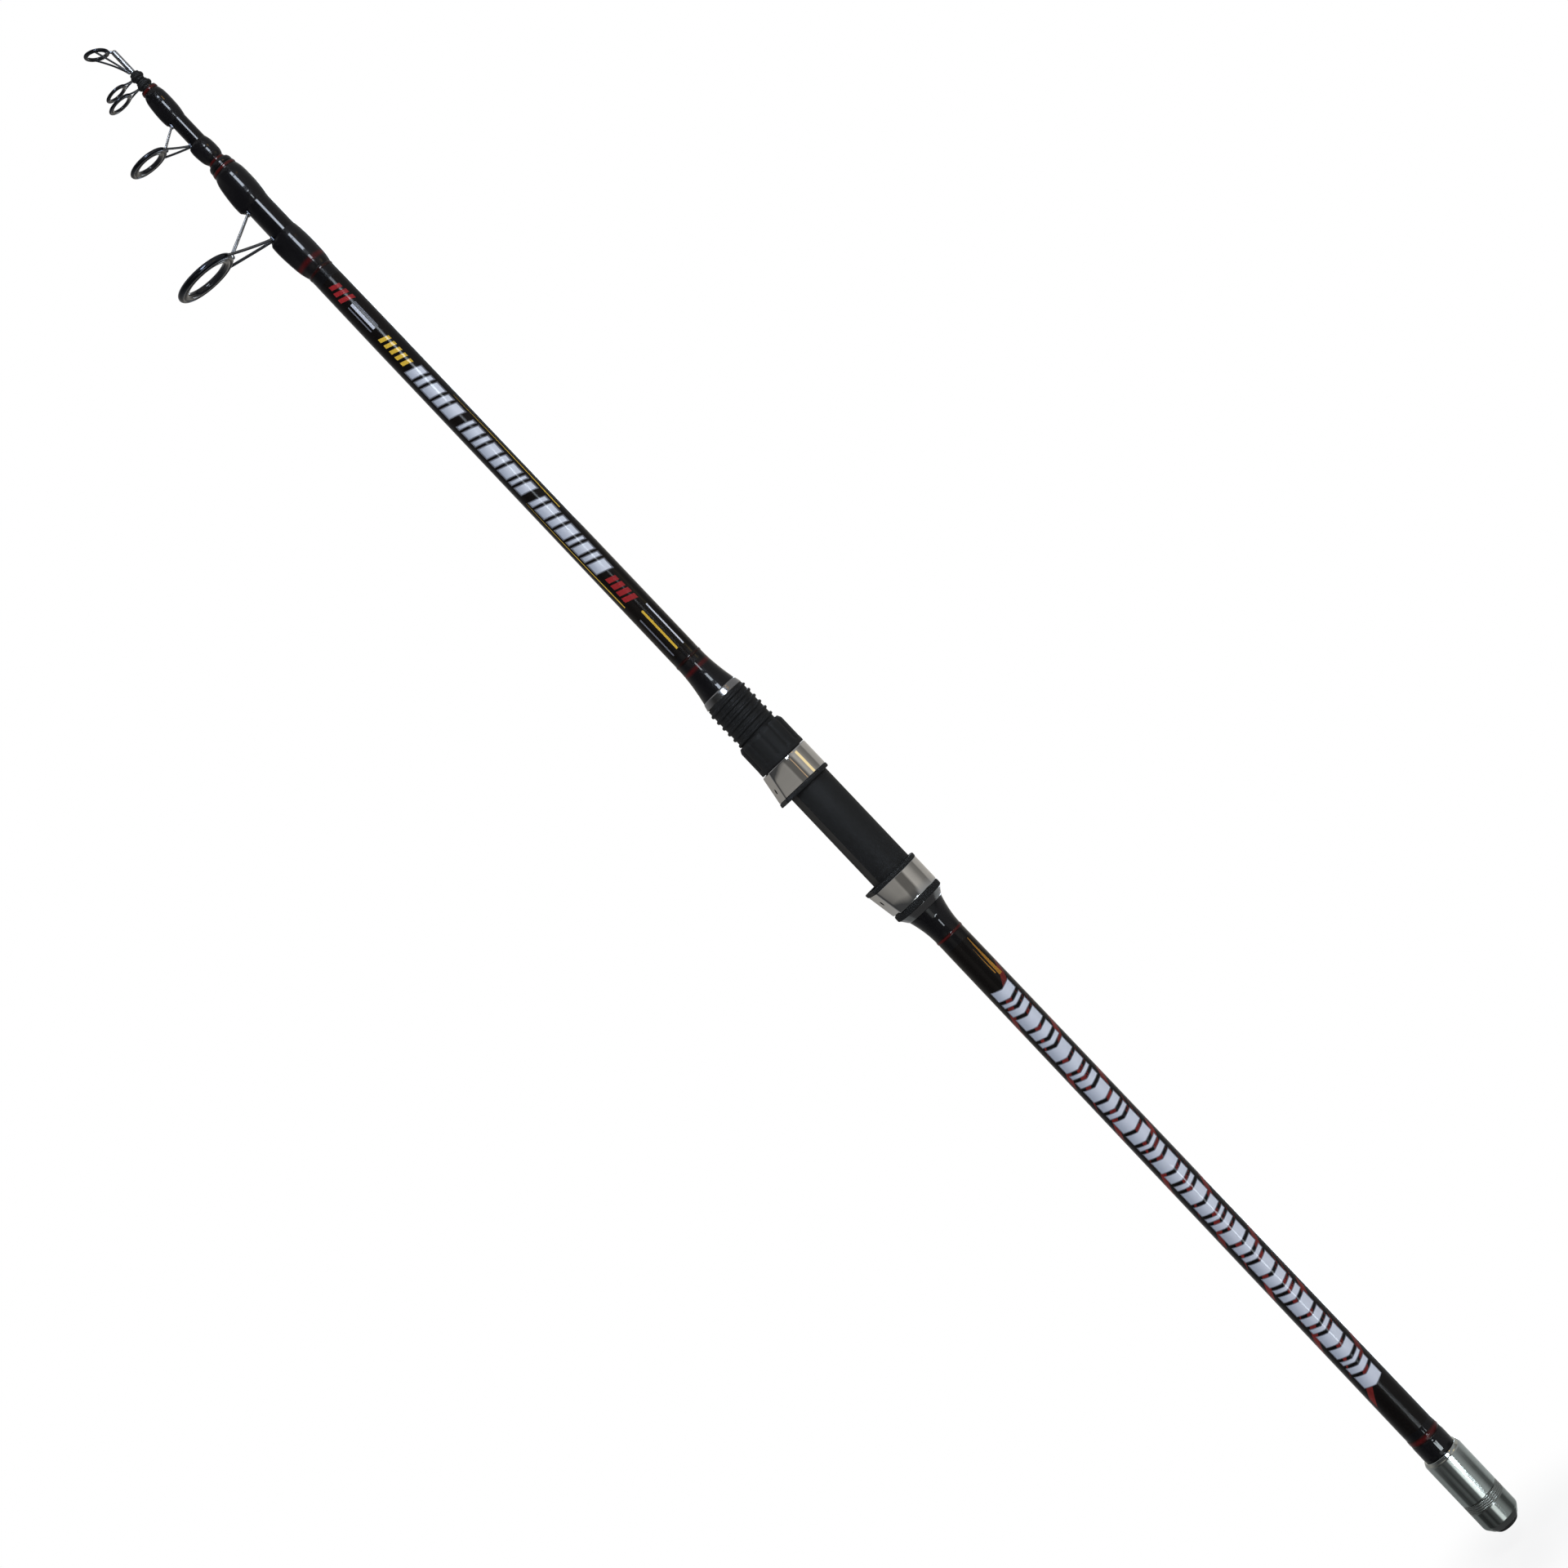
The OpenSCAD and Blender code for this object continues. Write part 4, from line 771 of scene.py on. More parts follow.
def makeFlange(low, top, inner, rim, ribs, ribDeep):
    ring = [(inner, low), (rim - 0.35, low, 0.2), (rim, low + 0.4, 0.3), (rim, top - 0.4, 0.3), (rim - 0.35, top, 0.2),
            (inner, top)]
    start = shaped("flangeTurned", [turned(eased(ring), 432)], "seatPlastic")
    cut = metres(depth=ribDeep, low=low, high=top, ease=0.2, inside=rim - 0.65)
    ribbed = grown("rearFlange", start, rimFlutes, "seatPlastic", 50, count=ribs, narrowness=2.0, halfStep=0.0, **cut)
    belongs(ribbed, "seatPlastic", "butt", "rear_flange")


barrelSize = dict(low=333.6, top=401.2, end=444.6, bore=7.4, rim=9.56, bed=7.63, bedFrom=336.4, keyFloor=8.26,
                  keyHalf=1.6, keyFrom=350.2, middle=375.0, core=8.66, turns=120)


def barrelSection(z, radius):
    s, steps = barrelSize, barrelSize["turns"]
    bedTurn, keyTurn = acos(s["bed"] / s["rim"]), s["keyHalf"] / s["rim"]
    turns = {2 * pi * i / steps - pi for i in range(steps)} | {pi - bedTurn, bedTurn - pi}
    turns |= {side * (keyTurn + step) for side in (-1, 1) for step in (-0.002, 0.002)}
    ring = []
    for a in sorted(turns):
        r = radius
        if z >= s["bedFrom"] - 0.01 and cos(a) < 0:
            r = min(r, -s["bed"] / cos(a))
        if z >= s["keyFrom"] - 0.01 and abs(a) < keyTurn:
            r = min(r, s["keyFloor"] / cos(a))
        ring.append((r * cos(a), r * sin(a), z))
    return ring


def makeBarrel():
    s = barrelSize
    low, top, end, rim, core = s["low"], s["top"], s["end"], s["rim"], s["core"]
    bed, key = s["bedFrom"], s["keyFrom"]
    stops = [(z, rim) for z in (low, bed - 0.02, bed, key - 0.02, key, s["middle"], top - 0.5)]
    stops += [(top - 0.15, rim - 0.12), (top, core), (end, core)]
    rings = [barrelSection(z, radius) for z, radius in stops]
    inside = circleLike([(x, y) for x, y, z in rings[0]], s["bore"])
    rings += [[(x, y, z) for x, y in inside] for z in (end, low)]
    addPiece("seatBarrel", [between(rings, True)], "seatPlastic", "butt", "seat_barrel")


threadSize = dict(low=401.0, high=444.2, pitch=3.1, root=8.7, crest=9.42, inside=8.3, keyFloor=8.28, keyHalf=1.9)
threadSheet = dict(around=181, along=261, ridgeFrom=-0.25, ridgeTo=0.85, runIn=2 * mm, runOut=1.2 * mm,
                   turnBack=0.985, back=0.9955, insideFrom=0.9865, insideTo=0.998)  # points, ridge, ends, shares


def seatThreadTree():
    tree, given = geometryTree("seatThread", *threadSize, startMesh=False)
    s = threadSheet
    grid = {"Size X": 1.0, "Size Y": 1.0, "Vertices X": s["around"], "Vertices Y": s["along"]}
    sheet = addNode(tree, "GeometryNodeMeshGrid", grid)
    across, along = split(tree, meshPlace(tree))[:2]
    turn = times(tree, across, 2 * pi)  # the sheet's width goes once round the barrel
    along = plus(tree, along, 0.5)
    there = ranged(tree, along, 0.0, s["turnBack"], 0.0, 1.0)  # out over the ridges, then back along the inside
    back = ranged(tree, along, s["turnBack"], s["back"], 0.0, 1.0)
    z = ranged(tree, minus(tree, there, back), 0.0, 1.0, given["low"], given["high"])
    phase = sums(tree, "FRACT", minus(tree, sums(tree, "DIVIDE", z, given["pitch"]), across))
    ridge = sums(tree, "COSINE", times(tree, phase, 2 * pi))
    ridge = ranged(tree, ridge, s["ridgeFrom"], s["ridgeTo"], 0.0, 1.0, True)
    run = ranged(tree, z, given["low"], plus(tree, given["low"], s["runIn"]), 0.0, 1.0, True)
    stop = ranged(tree, z, minus(tree, given["high"], s["runOut"]), given["high"], 1.0, 0.0, True)
    radius = ranged(tree, times(tree, ridge, run, stop), 0.0, 1.0, given["root"], given["crest"])
    aside = sums(tree, "ABSOLUTE", times(tree, sums(tree, "SINE", turn), radius))
    facing = sums(tree, "COSINE", turn)
    inKey = sums(tree, "LESS_THAN", aside, given["keyHalf"])
    inKey = times(tree, inKey, sums(tree, "GREATER_THAN", facing, 0.0))
    keyCut = sums(tree, "MINIMUM", sums(tree, "DIVIDE", given["keyFloor"], facing), radius)
    radius = ranged(tree, inKey, 0.0, 1.0, radius, keyCut)
    onInside = sums(tree, "GREATER_THAN", along, s["insideFrom"])
    onInside = times(tree, onInside, sums(tree, "LESS_THAN", along, s["insideTo"]))
    radius = ranged(tree, onInside, 0.0, 1.0, radius, given["inside"])
    rolled = aroundAxis(tree, radius, turn, z)
    moved = addNode(tree, "GeometryNodeSetPosition", {"Geometry": sheet.outputs[0], "Position": rolled})
    closed = addNode(tree, "GeometryNodeMergeByDistance", {"Geometry": moved.outputs[0], "Distance": weldGap})
    return closeTree(tree, given, closed)


def makeThread():
    start = linked("threadSheet", bpy.data.meshes.new("threadSheet"))
    cut = grown("seatThread", start, seatThreadTree(), "seatPlastic", 50, **metres(**threadSize))
    belongs(cut, "seatPlastic", "butt", "seat_barrel")


nutSize = dict(low=411.22, top=425.18, bore=9.48, rim=10.8, cone=9.92, coneFrom=423.6, flutes=12, fluteDeep=0.42,
               fluteFrom=412.9, fluteTo=427.0, plain=(417.5, 420.5))


def makeNut(low, top, bore, rim, cone, coneFrom, flutes, fluteDeep, fluteFrom, fluteTo, plain):
    steps = [fluteFrom - 0.2, fluteFrom + 0.15] + [fluteFrom + 0.3 * k for k in range(1, 8)] + list(plain)
    ring = [(bore, low), (rim - 0.1, low, 0.2), (rim, low + 0.3, 0.25)] + [(rim, z) for z in steps]
    ring += [(rim, coneFrom, 0.5), (cone, top, 0.25), (bore, top)]
    start = shaped("nutTurned", [turned(eased(ring), 360)], "seatPlastic")
    cut = metres(depth=fluteDeep, low=fluteFrom, high=fluteTo, ease=1.2, inside=rim - 0.9)
    fluted = grown("lockNut", start, rimFlutes, "seatPlastic", 40, count=flutes, narrowness=4.0, halfStep=1.0, **cut)
    belongs(fluted, "seatPlastic", "lock_nut", "lock_nut")


hoodSize = dict(lip=1.88, deep=13.8, wall=0.5, roof=12.4, roofFall=0.17391, half=7.0, corner=1.1, hole=9.64,
                linerDeep=13.22, pocketDeep=12.8)
# depth behind the mouth and inset from the outline, along the shell, the liner and the pocket for a reel's foot
shellStops = [(2.1, 0), (5, 0), (9, 0), (13.25, 0), (13.5, 0.05), (13.7, 0.16), (13.8, 0.4)]
linerStops = [(0, 0.25), (0.12, -0.02), (0.45, -0.2), (1.45, -0.2), (1.78, -0.05), (1.88, 0.15), (1.88, 0.55)]
pocketStops = [(12.75, 1.0), (12.4, 1.0), (6, 1.0), (0.5, 1.0), (0.12, 0.82)]
hoodSides = dict(fixed=dict(rim=11.2, mouth=350.2, grow=-1, bore=9.58),
                 sliding=dict(rim=10.85, mouth=397.2, grow=1, bore=9.64))


def hoodOutline(h, inset, rim, cornerEase):
    # flat roof, eased corners and straight sides that run into a round back
    s = hoodSize
    x, y, r = s["roof"] - inset - s["roofFall"] * h, s["half"] - inset, rim - inset
    touch = atan2(y, x) + acos(min(1, r / hypot(x, y)))
    leave = Vector((r * cos(touch), r * sin(touch)))
    roof = [(x, y * k / 6) for k in range(6)]
    corner = eased([roof[-1], (x, y, cornerEase), leave], False, 6)[1:-1]
    side = [tuple(Vector(corner[-1]).lerp(leave, k / 4)) for k in (1, 2, 3)]
    turns = [touch + (pi - touch) * k / 30 for k in range(31)]
    half = roof + corner + side + [(r * cos(a), r * sin(a)) for a in turns]
    return half + [(px, -py) for px, py in half[-2:0:-1]]


def circleLike(outline, r):
    return [(x * r / hypot(x, y), y * r / hypot(x, y)) for x, y in outline]


def hoodRing(which, h, outline):
    side = hoodSides[which]
    return [(-x, -y, side["mouth"] + side["grow"] * h) for x, y in outline]


def hoodRings(which, rim, cornerEase, *stops):
    return [hoodRing(which, h, hoodOutline(h, inset, rim, cornerEase)) for h, inset in stops]


roofHoleSize = dict(deep=6.5, half=1.15, tall=1.1, low=9.9, high=13.0)


def roofHole(which, deep, half, tall, low, high):
    z = hoodSides[which]["mouth"] + hoodSides[which]["grow"] * deep
    rings = [[(-x, half * across, z + tall * along) for along, across in circle(24)] for x in (low, high)]
    return shaped("roofHoleCutter", [between(rings, False)], "hoodChrome")


keySize = dict(xLow=8.76, xHigh=10.1, half=1.48, low=397.22, top=399.1)


def keyBlock(xLow, xHigh, half, low, top):
    rings = []
    for z, grow in ((low, -0.1), (low + 0.1, 0), (top - 0.1, 0), (top, -0.1)):
        near, far, side = xLow - grow, xHigh + grow, half + grow
        rings.append([(near, -side, z), (far, -side, z), (far, side, z), (near, side, z)])
    return between(rings, False)


def hoodShell(which, body):
    s, rim = hoodSize, hoodSides[which]["rim"]
    deep, floor, wall, edge = s["deep"], s["deep"] - s["wall"], s["wall"], s["lip"] + 0.04
    rings = hoodRings(which, rim, s["corner"], (edge, 0.22), (edge + 0.05, 0.07), *shellStops)
    plain = hoodOutline(deep, 0.4, rim, s["corner"])
    for h, radius in ((deep, s["hole"] + 0.15), (deep - 0.1, s["hole"]), (floor, s["hole"])):
        rings.append(hoodRing(which, h, circleLike(plain, radius)))
    rings += hoodRings(which, rim, s["corner"] * 0.8, (floor, wall), (edge, wall))
    shell = shaped(which + "HoodPlain", [between(rings, True)], "hoodChrome", 24)
    cutter = roofHole(which, **roofHoleSize)
    hole = shell.modifiers.new("roofHole", "BOOLEAN")
    hole.object, hole.solver = cutter, "EXACT"
    mesh = evaluated(shell)
    for done in (shell, cutter):
        bpy.data.objects.remove(done)
    belongs(finished(which + "HoodShell", mesh, "hoodChrome", 24), "hoodChrome", body, which + "_hood_shell")


def hoodLiner(which, body):
    s, rim, bore = hoodSize, hoodSides[which]["rim"], hoodSides[which]["bore"]
    floor = s["linerDeep"]
    rings = hoodRings(which, rim, s["corner"] + 0.2, *linerStops)
    plain = hoodOutline(floor, 0.55, rim, s["corner"] * 0.8)
    rings.append(hoodRing(which, floor, plain))
    rings += [hoodRing(which, h, circleLike(plain, bore)) for h in (floor, s["pocketDeep"])]
    for h, inset in pocketStops:
        rings += hoodRings(which, bore + inset, 0.8, (h, inset))
    parts = [between(rings, True)] + ([keyBlock(**keySize)] if which == "sliding" else [])
    addPiece(which + "HoodLiner", parts, "seatPlastic", body, which + "_hood_liner", sharp=30)


makeFlange(**flangeSize)
makeBarrel()
makeThread()
makeNut(**nutSize)
for hoodName, hoodBody in (("fixed", "butt"), ("sliding", "sliding_hood")):
    hoodShell(hoodName, hoodBody)
    hoodLiner(hoodName, hoodBody)
print("rod: reel seat made")

# Guides: lacquered windings, wire frames grown along paths, rims and ceramic rings
windingSize = dict(
    large=dict(wide=3.4, swell=2.0, taper=buttTaper, rear=(674.0, 694.0), front=(727.2, 709.7)),
    medium=dict(wide=2.4, swell=1.15, taper=midTaper, rear=(733.14, 742.9), front=(769.5, 754.7)))
windingRise = [(0, -0.06), (0.01, 0.1), (0.05, 0.32), (0.1, 0.52), (0.17, 0.72), (0.28, 0.84), (0.45, 0.87),
               (0.6, 0.84), (0.75, 0.72), (0.86, 0.5), (0.94, 0.28), (1.0, 0.1)]  # share of the length, height


def windingOutline(r, centre, bump, around=72):
    # the blank's round, and a smaller round over the guide's foot
    edge = acos((r - bump) / centre) if centre > abs(r - bump) + tiny else 0
    ring = []
    for i in range(around):
        a = 2 * pi * i / around
        a = a - 2 * pi if a > pi else a
        ring.append((centre + bump * cos(a), bump * sin(a)) if abs(a) < edge else (r * cos(a), r * sin(a)))
    return ring


def windingPart(size, which, steps=48):
    far, leg = size[which]
    rings = []
    for i in range(steps + 1):
        t = i / steps
        t = 1 - (1 - t) ** 1.5 if t > 0.5 else t ** 1.5 * 0.6464 / 0.3536  # closer rings towards both ends
        z = far + (leg - far) * t
        r = at(size["taper"], z) + at(windingRise, t)
        droop = smooth((t - 0.93) / 0.07)
        swell = size["swell"] * min(1, t / 0.92) ** 0.8 * (1 - 0.3 * droop)  # stands out towards the guide
        bump = size["wide"] / 2 + 0.85 - 0.9 * droop
        rings.append([(-x, -y, z) for x, y in windingOutline(r, r + swell - bump, bump)])
    return between(rings, False)


ringSize = dict(
    large=dict(out=35.2, z=700.1, rim=13.5, bore=8.9, deep=3.4, lean=1.5),
    medium=dict(out=20.3, z=748.7, rim=8.75, bore=4.95, deep=2.2, lean=3.0),
    rearRunner=dict(out=12.3, z=773.5, rim=5.7, bore=3.55, deep=1.3, lean=0.0),
    frontRunner=dict(out=10.6, z=777.7, rim=5.0, bore=3.2, deep=1.3, lean=0.0),
    tipRing=dict(out=5.7, z=794.42, rim=5.1, bore=3.3, deep=1.5, lean=27.0))


def onRing(size, radius, turn):
    a, lean = radians(turn), radians(size["lean"])
    return size["out"] - radius * cos(a) * cos(lean), radius * sin(a), size["z"] - radius * cos(a) * sin(lean)


def ringAbout(size, profile, steps):
    lean = radians(size["lean"])
    verts, faces = turned(profile, steps)
    return [(x * cos(lean) + z * sin(lean) - size["out"], -y, size["z"] - x * sin(lean) + z * cos(lean))
            for x, y, z in verts], faces


def seatRadius(size):
    return size["rim"] - 0.42 * (size["rim"] - size["bore"])  # where the rim holds the ring


def wireHold(size):
    return (size["rim"] + seatRadius(size)) / 2


def bezier(start, pull, end, count=18):
    points = []
    for t in (i / count for i in range(count + 1)):
        points.append([(1 - t) ** 2 * a + 2 * t * (1 - t) * b + t * t * c for a, b, c in zip(start, pull, end)])
    return points


def guideWireTree():
    tree, given = geometryTree("guideWires")
    thick = addNode(tree, "GeometryNodeInputNamedAttribute", {"Name": "wireRadius"}, data_type="FLOAT").outputs[0]
    path = addNode(tree, "GeometryNodeMeshToCurve", {"Mesh": given["mesh"]}).outputs[0]
    sized = addNode(tree, "GeometryNodeSetCurveRadius", {"Curve": path, "Radius": thick}).outputs[0]
    hoop = addNode(tree, "GeometryNodeCurvePrimitiveCircle", {"Resolution": 14, "Radius": 1.0}).outputs[0]
    wire = addNode(tree, "GeometryNodeCurveToMesh", {"Curve": sized, "Profile Curve": hoop, "Fill Caps": True})
    if "Scale" in wire.inputs:
        feed(tree, wire.inputs["Scale"], thick)
    return closeTree(tree, given, wire)


guideWires = guideWireTree()


def addWires(name, paths, finish, body, node):
    verts, edges, radii = [], [], []
    for points, radius in paths:
        edges += [(len(verts) + i, len(verts) + i + 1) for i in range(len(points) - 1)]
        verts += [(-x * mm, -y * mm, z * mm) for x, y, z in points]
        radii += [radius * mm] * len(points)
    mesh = bpy.data.meshes.new(name + "Path")
    mesh.from_pydata(verts, edges, [])
    mesh.attributes.new("wireRadius", "FLOAT", "POINT").data.foreach_set("value", radii)
    belongs(grown(name, linked(name + "Path", mesh), guideWires, finish, 60), finish, body, node)


def bead(centre, long, wide, steps=20):
    x0, y0, z0 = centre
    profile = [(max(0, wide * sin(pi * i / 12)), long * cos(pi * i / 12)) for i in range(13)]
    verts, faces = turned(profile, steps)
    return [(-(x0 + x), -(y0 + y), z0 + z) for x, y, z in verts], faces


def rimProfile(size):
    seat, half = seatRadius(size), 0.43 * size["deep"]
    turns = [-pi / 2 + pi * i / 16 for i in range(17)]
    outside = [(seat + (size["rim"] - seat) * (0.25 + 0.75 * cos(a)), half * 0.94 * sin(a)) for a in turns]
    return [(seat, half * 0.62), (seat, -half * 0.62)] + outside


def insertProfile(size):
    seat, inner, half = seatRadius(size), size["bore"], 0.4 * size["deep"] + 0.08
    outer = seat + 0.2 * (size["rim"] - seat)
    return [((outer + inner) / 2 + (outer - inner) / 2 * x, half * y) for x, y in circle(28)]


def addRing(rimName, ringName, which, body, frameNode, ringNode, steps=72):
    size = ringSize[which]
    addPiece(rimName, [ringAbout(size, rimProfile(size), steps)], "guideRim", body, frameNode, sharp=50)
    addPiece(ringName, [ringAbout(size, insertProfile(size), steps)], "ringCeramic", body, ringNode, sharp=50)


def footPart(taper, wide, inside, tab, steps=12):
    rings = []
    for i in range(steps + 1):
        t = i / steps
        z = inside + (tab - inside) * t
        base, half = at(taper, z), wide / 2 * min(1, 0.35 + t * 1.6) * (0.9 if t > 0.9 else 1)
        top = base + 0.8 * min(1, 0.25 + t * 1.4) - (0.2 if t == 1 else 0)
        ring = eased([(base - 0.05, -half), (base + 0.1, -half, 0.1), (top, -half * 0.92, 0.25),
                      (top, half * 0.92, 0.25), (base + 0.1, half, 0.1), (base - 0.05, half)])
        rings.append([(-x, -y, z) for x, y in ring])
    return between(rings, False)


wireSize = dict(large=dict(leg=0.6, prong=0.42, foot=9.5), medium=dict(leg=0.45, prong=0.35, foot=5.0))
wireTurns = dict(leg=36, prong=9, runner=32)  # where a wire meets its ring, degrees from the ring's near side


def makeGuide(which, body, leg, prong, foot):
    size, wrap, name, node = ringSize[which], windingSize[which], which + "Guide", which + "_guide_"
    taper, hold, tab, half = wrap["taper"], wireHold(size), 3 * leg, wrap["wide"] / 2
    rear, front = wrap["rear"][1], wrap["front"][1]  # where the frame leaves its windings
    rearR, frontR = at(taper, rear), at(taper, front)
    legs, prongs = [], []
    for side in (-1, 1):
        y = side * (half - leg)
        root, end = (rearR + 0.4, y, rear + tab / 2), onRing(size, hold, side * wireTurns["leg"])
        lean = ((rearR + size["out"] - size["rim"]) / 2, side * half, rear + tab)
        pull = tuple(0.4 * k + 0.3 * (a + b) for k, a, b in zip(lean, root, end))
        legs.append((bezier(root, pull, end), leg))
        root, pull = (frontR + 0.4, y, front - tab / 2), (frontR + 1.6, y, front - tab)
        prongs.append((bezier(root, pull, onRing(size, hold, side * wireTurns["prong"])), prong))
    addWires(name + "Legs", legs, "guideMetal", body, node + "frame")
    # the prongs and the weld bead take the lighter guide metal: a painted highlight
    addWires(name + "Prongs", prongs, "litGuideWire", body, node + "frame")
    feet = [footPart(taper, wrap["wide"], inside, end)
            for inside, end in ((rear - foot, rear + tab), (front + foot, front - tab))]
    addPiece(name + "Feet", feet, "guideRim", body, node + "frame", sharp=40)
    weld = bead(onRing(size, size["rim"] - 0.1, 0), prong * 2.6, prong * 2.1)
    addPiece(name + "Weld", [weld], "litGuideWire", body, node + "frame", sharp=60)
    addRing(name + "Rim", name + "Ring", which, body, node + "frame", node + "ring", 96)
    addPiece(name + "RearWinding", [windingPart(wrap, "rear")], "windingLacquer", body, node + "rear_wrap", sharp=50)
    addPiece(name + "FrontWinding", [windingPart(wrap, "front")], "windingLacquer", body, node + "front_wrap", sharp=50)


runnerSize = dict(rearRunner=dict(low=771.5, top=775.5, rim=2.44, bore=1.898, knob=3.2, start=2.82),
                  frontRunner=dict(low=775.7, top=779.7, rim=2.09, bore=1.357, knob=2.85, start=2.47))


def makeRunner(which, body, low, top, rim, bore, knob, start, wire=0.38):
    size, mid, half = ringSize[which], (low + top) / 2, 0.76
    lower = [(bore, low + 0.02), (rim - 0.25, low + 0.02, 0.12), (rim, low + 0.3, 0.25), (rim, mid - half - 0.25, 0.2),
             (knob - 0.25, mid - half, 0.3)]
    upper = [(r, low + top - z, *ease) for r, z, *ease in reversed(lower)]
    collar = turned(eased(lower + [(knob, mid, 0.5)] + upper), 64)
    addPiece(which + "Collar", [collar], "seatPlastic", body, body + "_collar", sharp=50)
    legs = []
    for side in (-1, 1):
        root, pull = (start - 0.3, side * wire, mid), ((knob + size["out"] - size["rim"]) / 2, side * wire, mid)
        legs.append((bezier(root, pull, onRing(size, wireHold(size), side * wireTurns["runner"])), wire))
    addWires(which + "Legs", legs, "guideMetal", body, body + "_frame")
    addRing(which + "Rim", which + "Ring", which, body, body + "_frame", body + "_ring")


tipTubeSize = dict(low=779.9, top=791.7, rim=1.15, bore=0.7, brace=0.4, stem=0.55, bracePull=(2.85, 1.15, 787.16),
                   braceEnd=(6.718, 4.582, 794.94), stemPull=0.746, stemEnd=(1.493, 0, 792.276))


def makeTipRing(low, top, rim, bore, brace, stem, bracePull, braceEnd, stemPull, stemEnd):
    tube = [(bore, low + 0.02), (rim - 0.1, low + 0.02, 0.08), (rim, low + 0.25, 0.15), (rim, top - 0.6, 0.4),
            (rim * 0.6, top - 0.05, 0.3), (0, top)]
    tube = [(0, low + 0.3), (bore, low + 0.3)] + eased(tube, False)
    # the tube takes the lighter guide metal: a painted highlight
    addPiece("tipRingTube", [turned(tube, 40)], "litTipTube", "tip", "tip_ring_frame", sharp=50)
    braces = []
    for side in (-1, 1):
        pull, end = [(x, side * y, z) for x, y, z in (bracePull, braceEnd)]
        braces.append((bezier((rim, side * brace, low + 0.8), pull, end), brace))
    braces.append((bezier((0, 0, top - 0.8), (stemPull, 0, top), stemEnd), stem))
    addWires("tipRingBraces", braces, "guideMetal", "tip", "tip_ring_frame")
    addRing("tipRingRim", "tipRingInsert", "tipRing", "tip", "tip_ring_frame", "tip_ring_insert")


for guideName, guideBody in (("large", "butt"), ("medium", "mid")):
    makeGuide(guideName, guideBody, **wireSize[guideName])
for runnerName, runnerBody in (("rearRunner", "rear_runner"), ("frontRunner", "front_runner")):
    makeRunner(runnerName, runnerBody, **runnerSize[runnerName])
makeTipRing(**tipTubeSize)
print("rod: guides made")


# Printed decoration: satin film sleeves, then slanted bars rolled onto the tapered blank on both flanks
filmSize = dict(rearFilm=(53.0, 312.0), frontFilm=(468.0, 668.0))
printSize = dict(proud=0.016, under=0.05, thick=0.012, turn=103.0)  # film, ink, degrees from +X to a flank's middle
inkLevels = dict(streak=-0.006, warmReflection=-0.004, plain=0.0, edge=0.004, bar=0.012)  # above the film


def printRowTree():
    tree, given = geometryTree("printRow", "low", "high", "lowRadius", "highRadius", "lift", "thickness", "turn")
    place, vectors = meshPlace(tree), dict(data_type="FLOAT_VECTOR")
    grid = {"Size": (1, 1, 1), "Vertices X": 25, "Vertices Y": 4, "Vertices Z": 2}
    block = addNode(tree, "GeometryNodeMeshCube", grid)
    kept = [addNode(tree, "GeometryNodeStoreNamedAttribute", {"Geometry": mesh, "Name": name, "Value": place},
                    domain="POINT", **vectors).outputs[0]
            for mesh, name in ((given["mesh"], "centre"), (block.outputs[0], "local"))]
    bars = addNode(tree, "GeometryNodeInstanceOnPoints", {"Points": kept[0], "Instance": kept[1]})
    real = addNode(tree, "GeometryNodeRealizeInstances", {0: bars.outputs[0]})
    centre, local, size, lean = [
        split(tree, addNode(tree, "GeometryNodeInputNamedAttribute", {"Name": name}, **vectors).outputs[0])
        for name in ("centre", "local", "barSize", "barLean")]
    breadth = times(tree, local[0], size[0])
    taper = minus(tree, 1.0, times(tree, lean[1], plus(tree, local[1], 0.5)))
    bow = minus(tree, 0.25, times(tree, local[1], local[1]))
    across = plus(tree, centre[0], times(tree, lean[2], bow), times(tree, breadth, taper))
    fold = times(tree, size[2], sums(tree, "ABSOLUTE", local[0]), size[0])
    slant = times(tree, lean[0], breadth)
    z = plus(tree, centre[1], times(tree, local[1], size[1]), slant, fold)
    base = ranged(tree, z, given["low"], given["high"], given["lowRadius"], given["highRadius"])
    ink = times(tree, plus(tree, local[2], 0.5), given["thickness"])
    turn = times(tree, plus(tree, given["turn"], sums(tree, "DIVIDE", across, base)), centre[2])
    rolled = aroundAxis(tree, plus(tree, base, given["lift"], ink), turn, z)
    moved = addNode(tree, "GeometryNodeSetPosition", {"Geometry": real.outputs[0], "Position": rolled})
    return closeTree(tree, given, moved)


printRow = printRowTree()


def bar(across, z, breadth, length, slant=0.0, taper=0.0, bow=0.0, fold=0.0):
    # a spot on the flank, the bar's size with its fold, and its lean
    return (across * mm, z * mm), (breadth * mm, length * mm, fold), (slant, taper, bow * mm)


def addBars(name, flank, bars, finish, level="plain"):
    low, high = buttTaper[0:2] if flank == "rear" else buttTaper[1:3]
    spots = [(*spot, side) for side in (-1, 1) for spot, size, lean in bars]
    mesh = bpy.data.meshes.new(name + "Spots")
    mesh.from_pydata(spots, [], [])
    for title, index in (("barSize", 1), ("barLean", 2)):
        values = [value for each in bars for value in each[index]] * 2
        mesh.attributes.new(title, "FLOAT_VECTOR", "POINT").data.foreach_set("vector", values)
    sized = metres(low=low[0], high=high[0], lowRadius=low[1], highRadius=high[1], thickness=printSize["thick"],
                   lift=printSize["proud"] + inkLevels[level])
    start = linked(name + "Spots", mesh)
    belongs(grown(name, start, printRow, finish, 40, turn=radians(printSize["turn"]), **sized), finish, "butt")


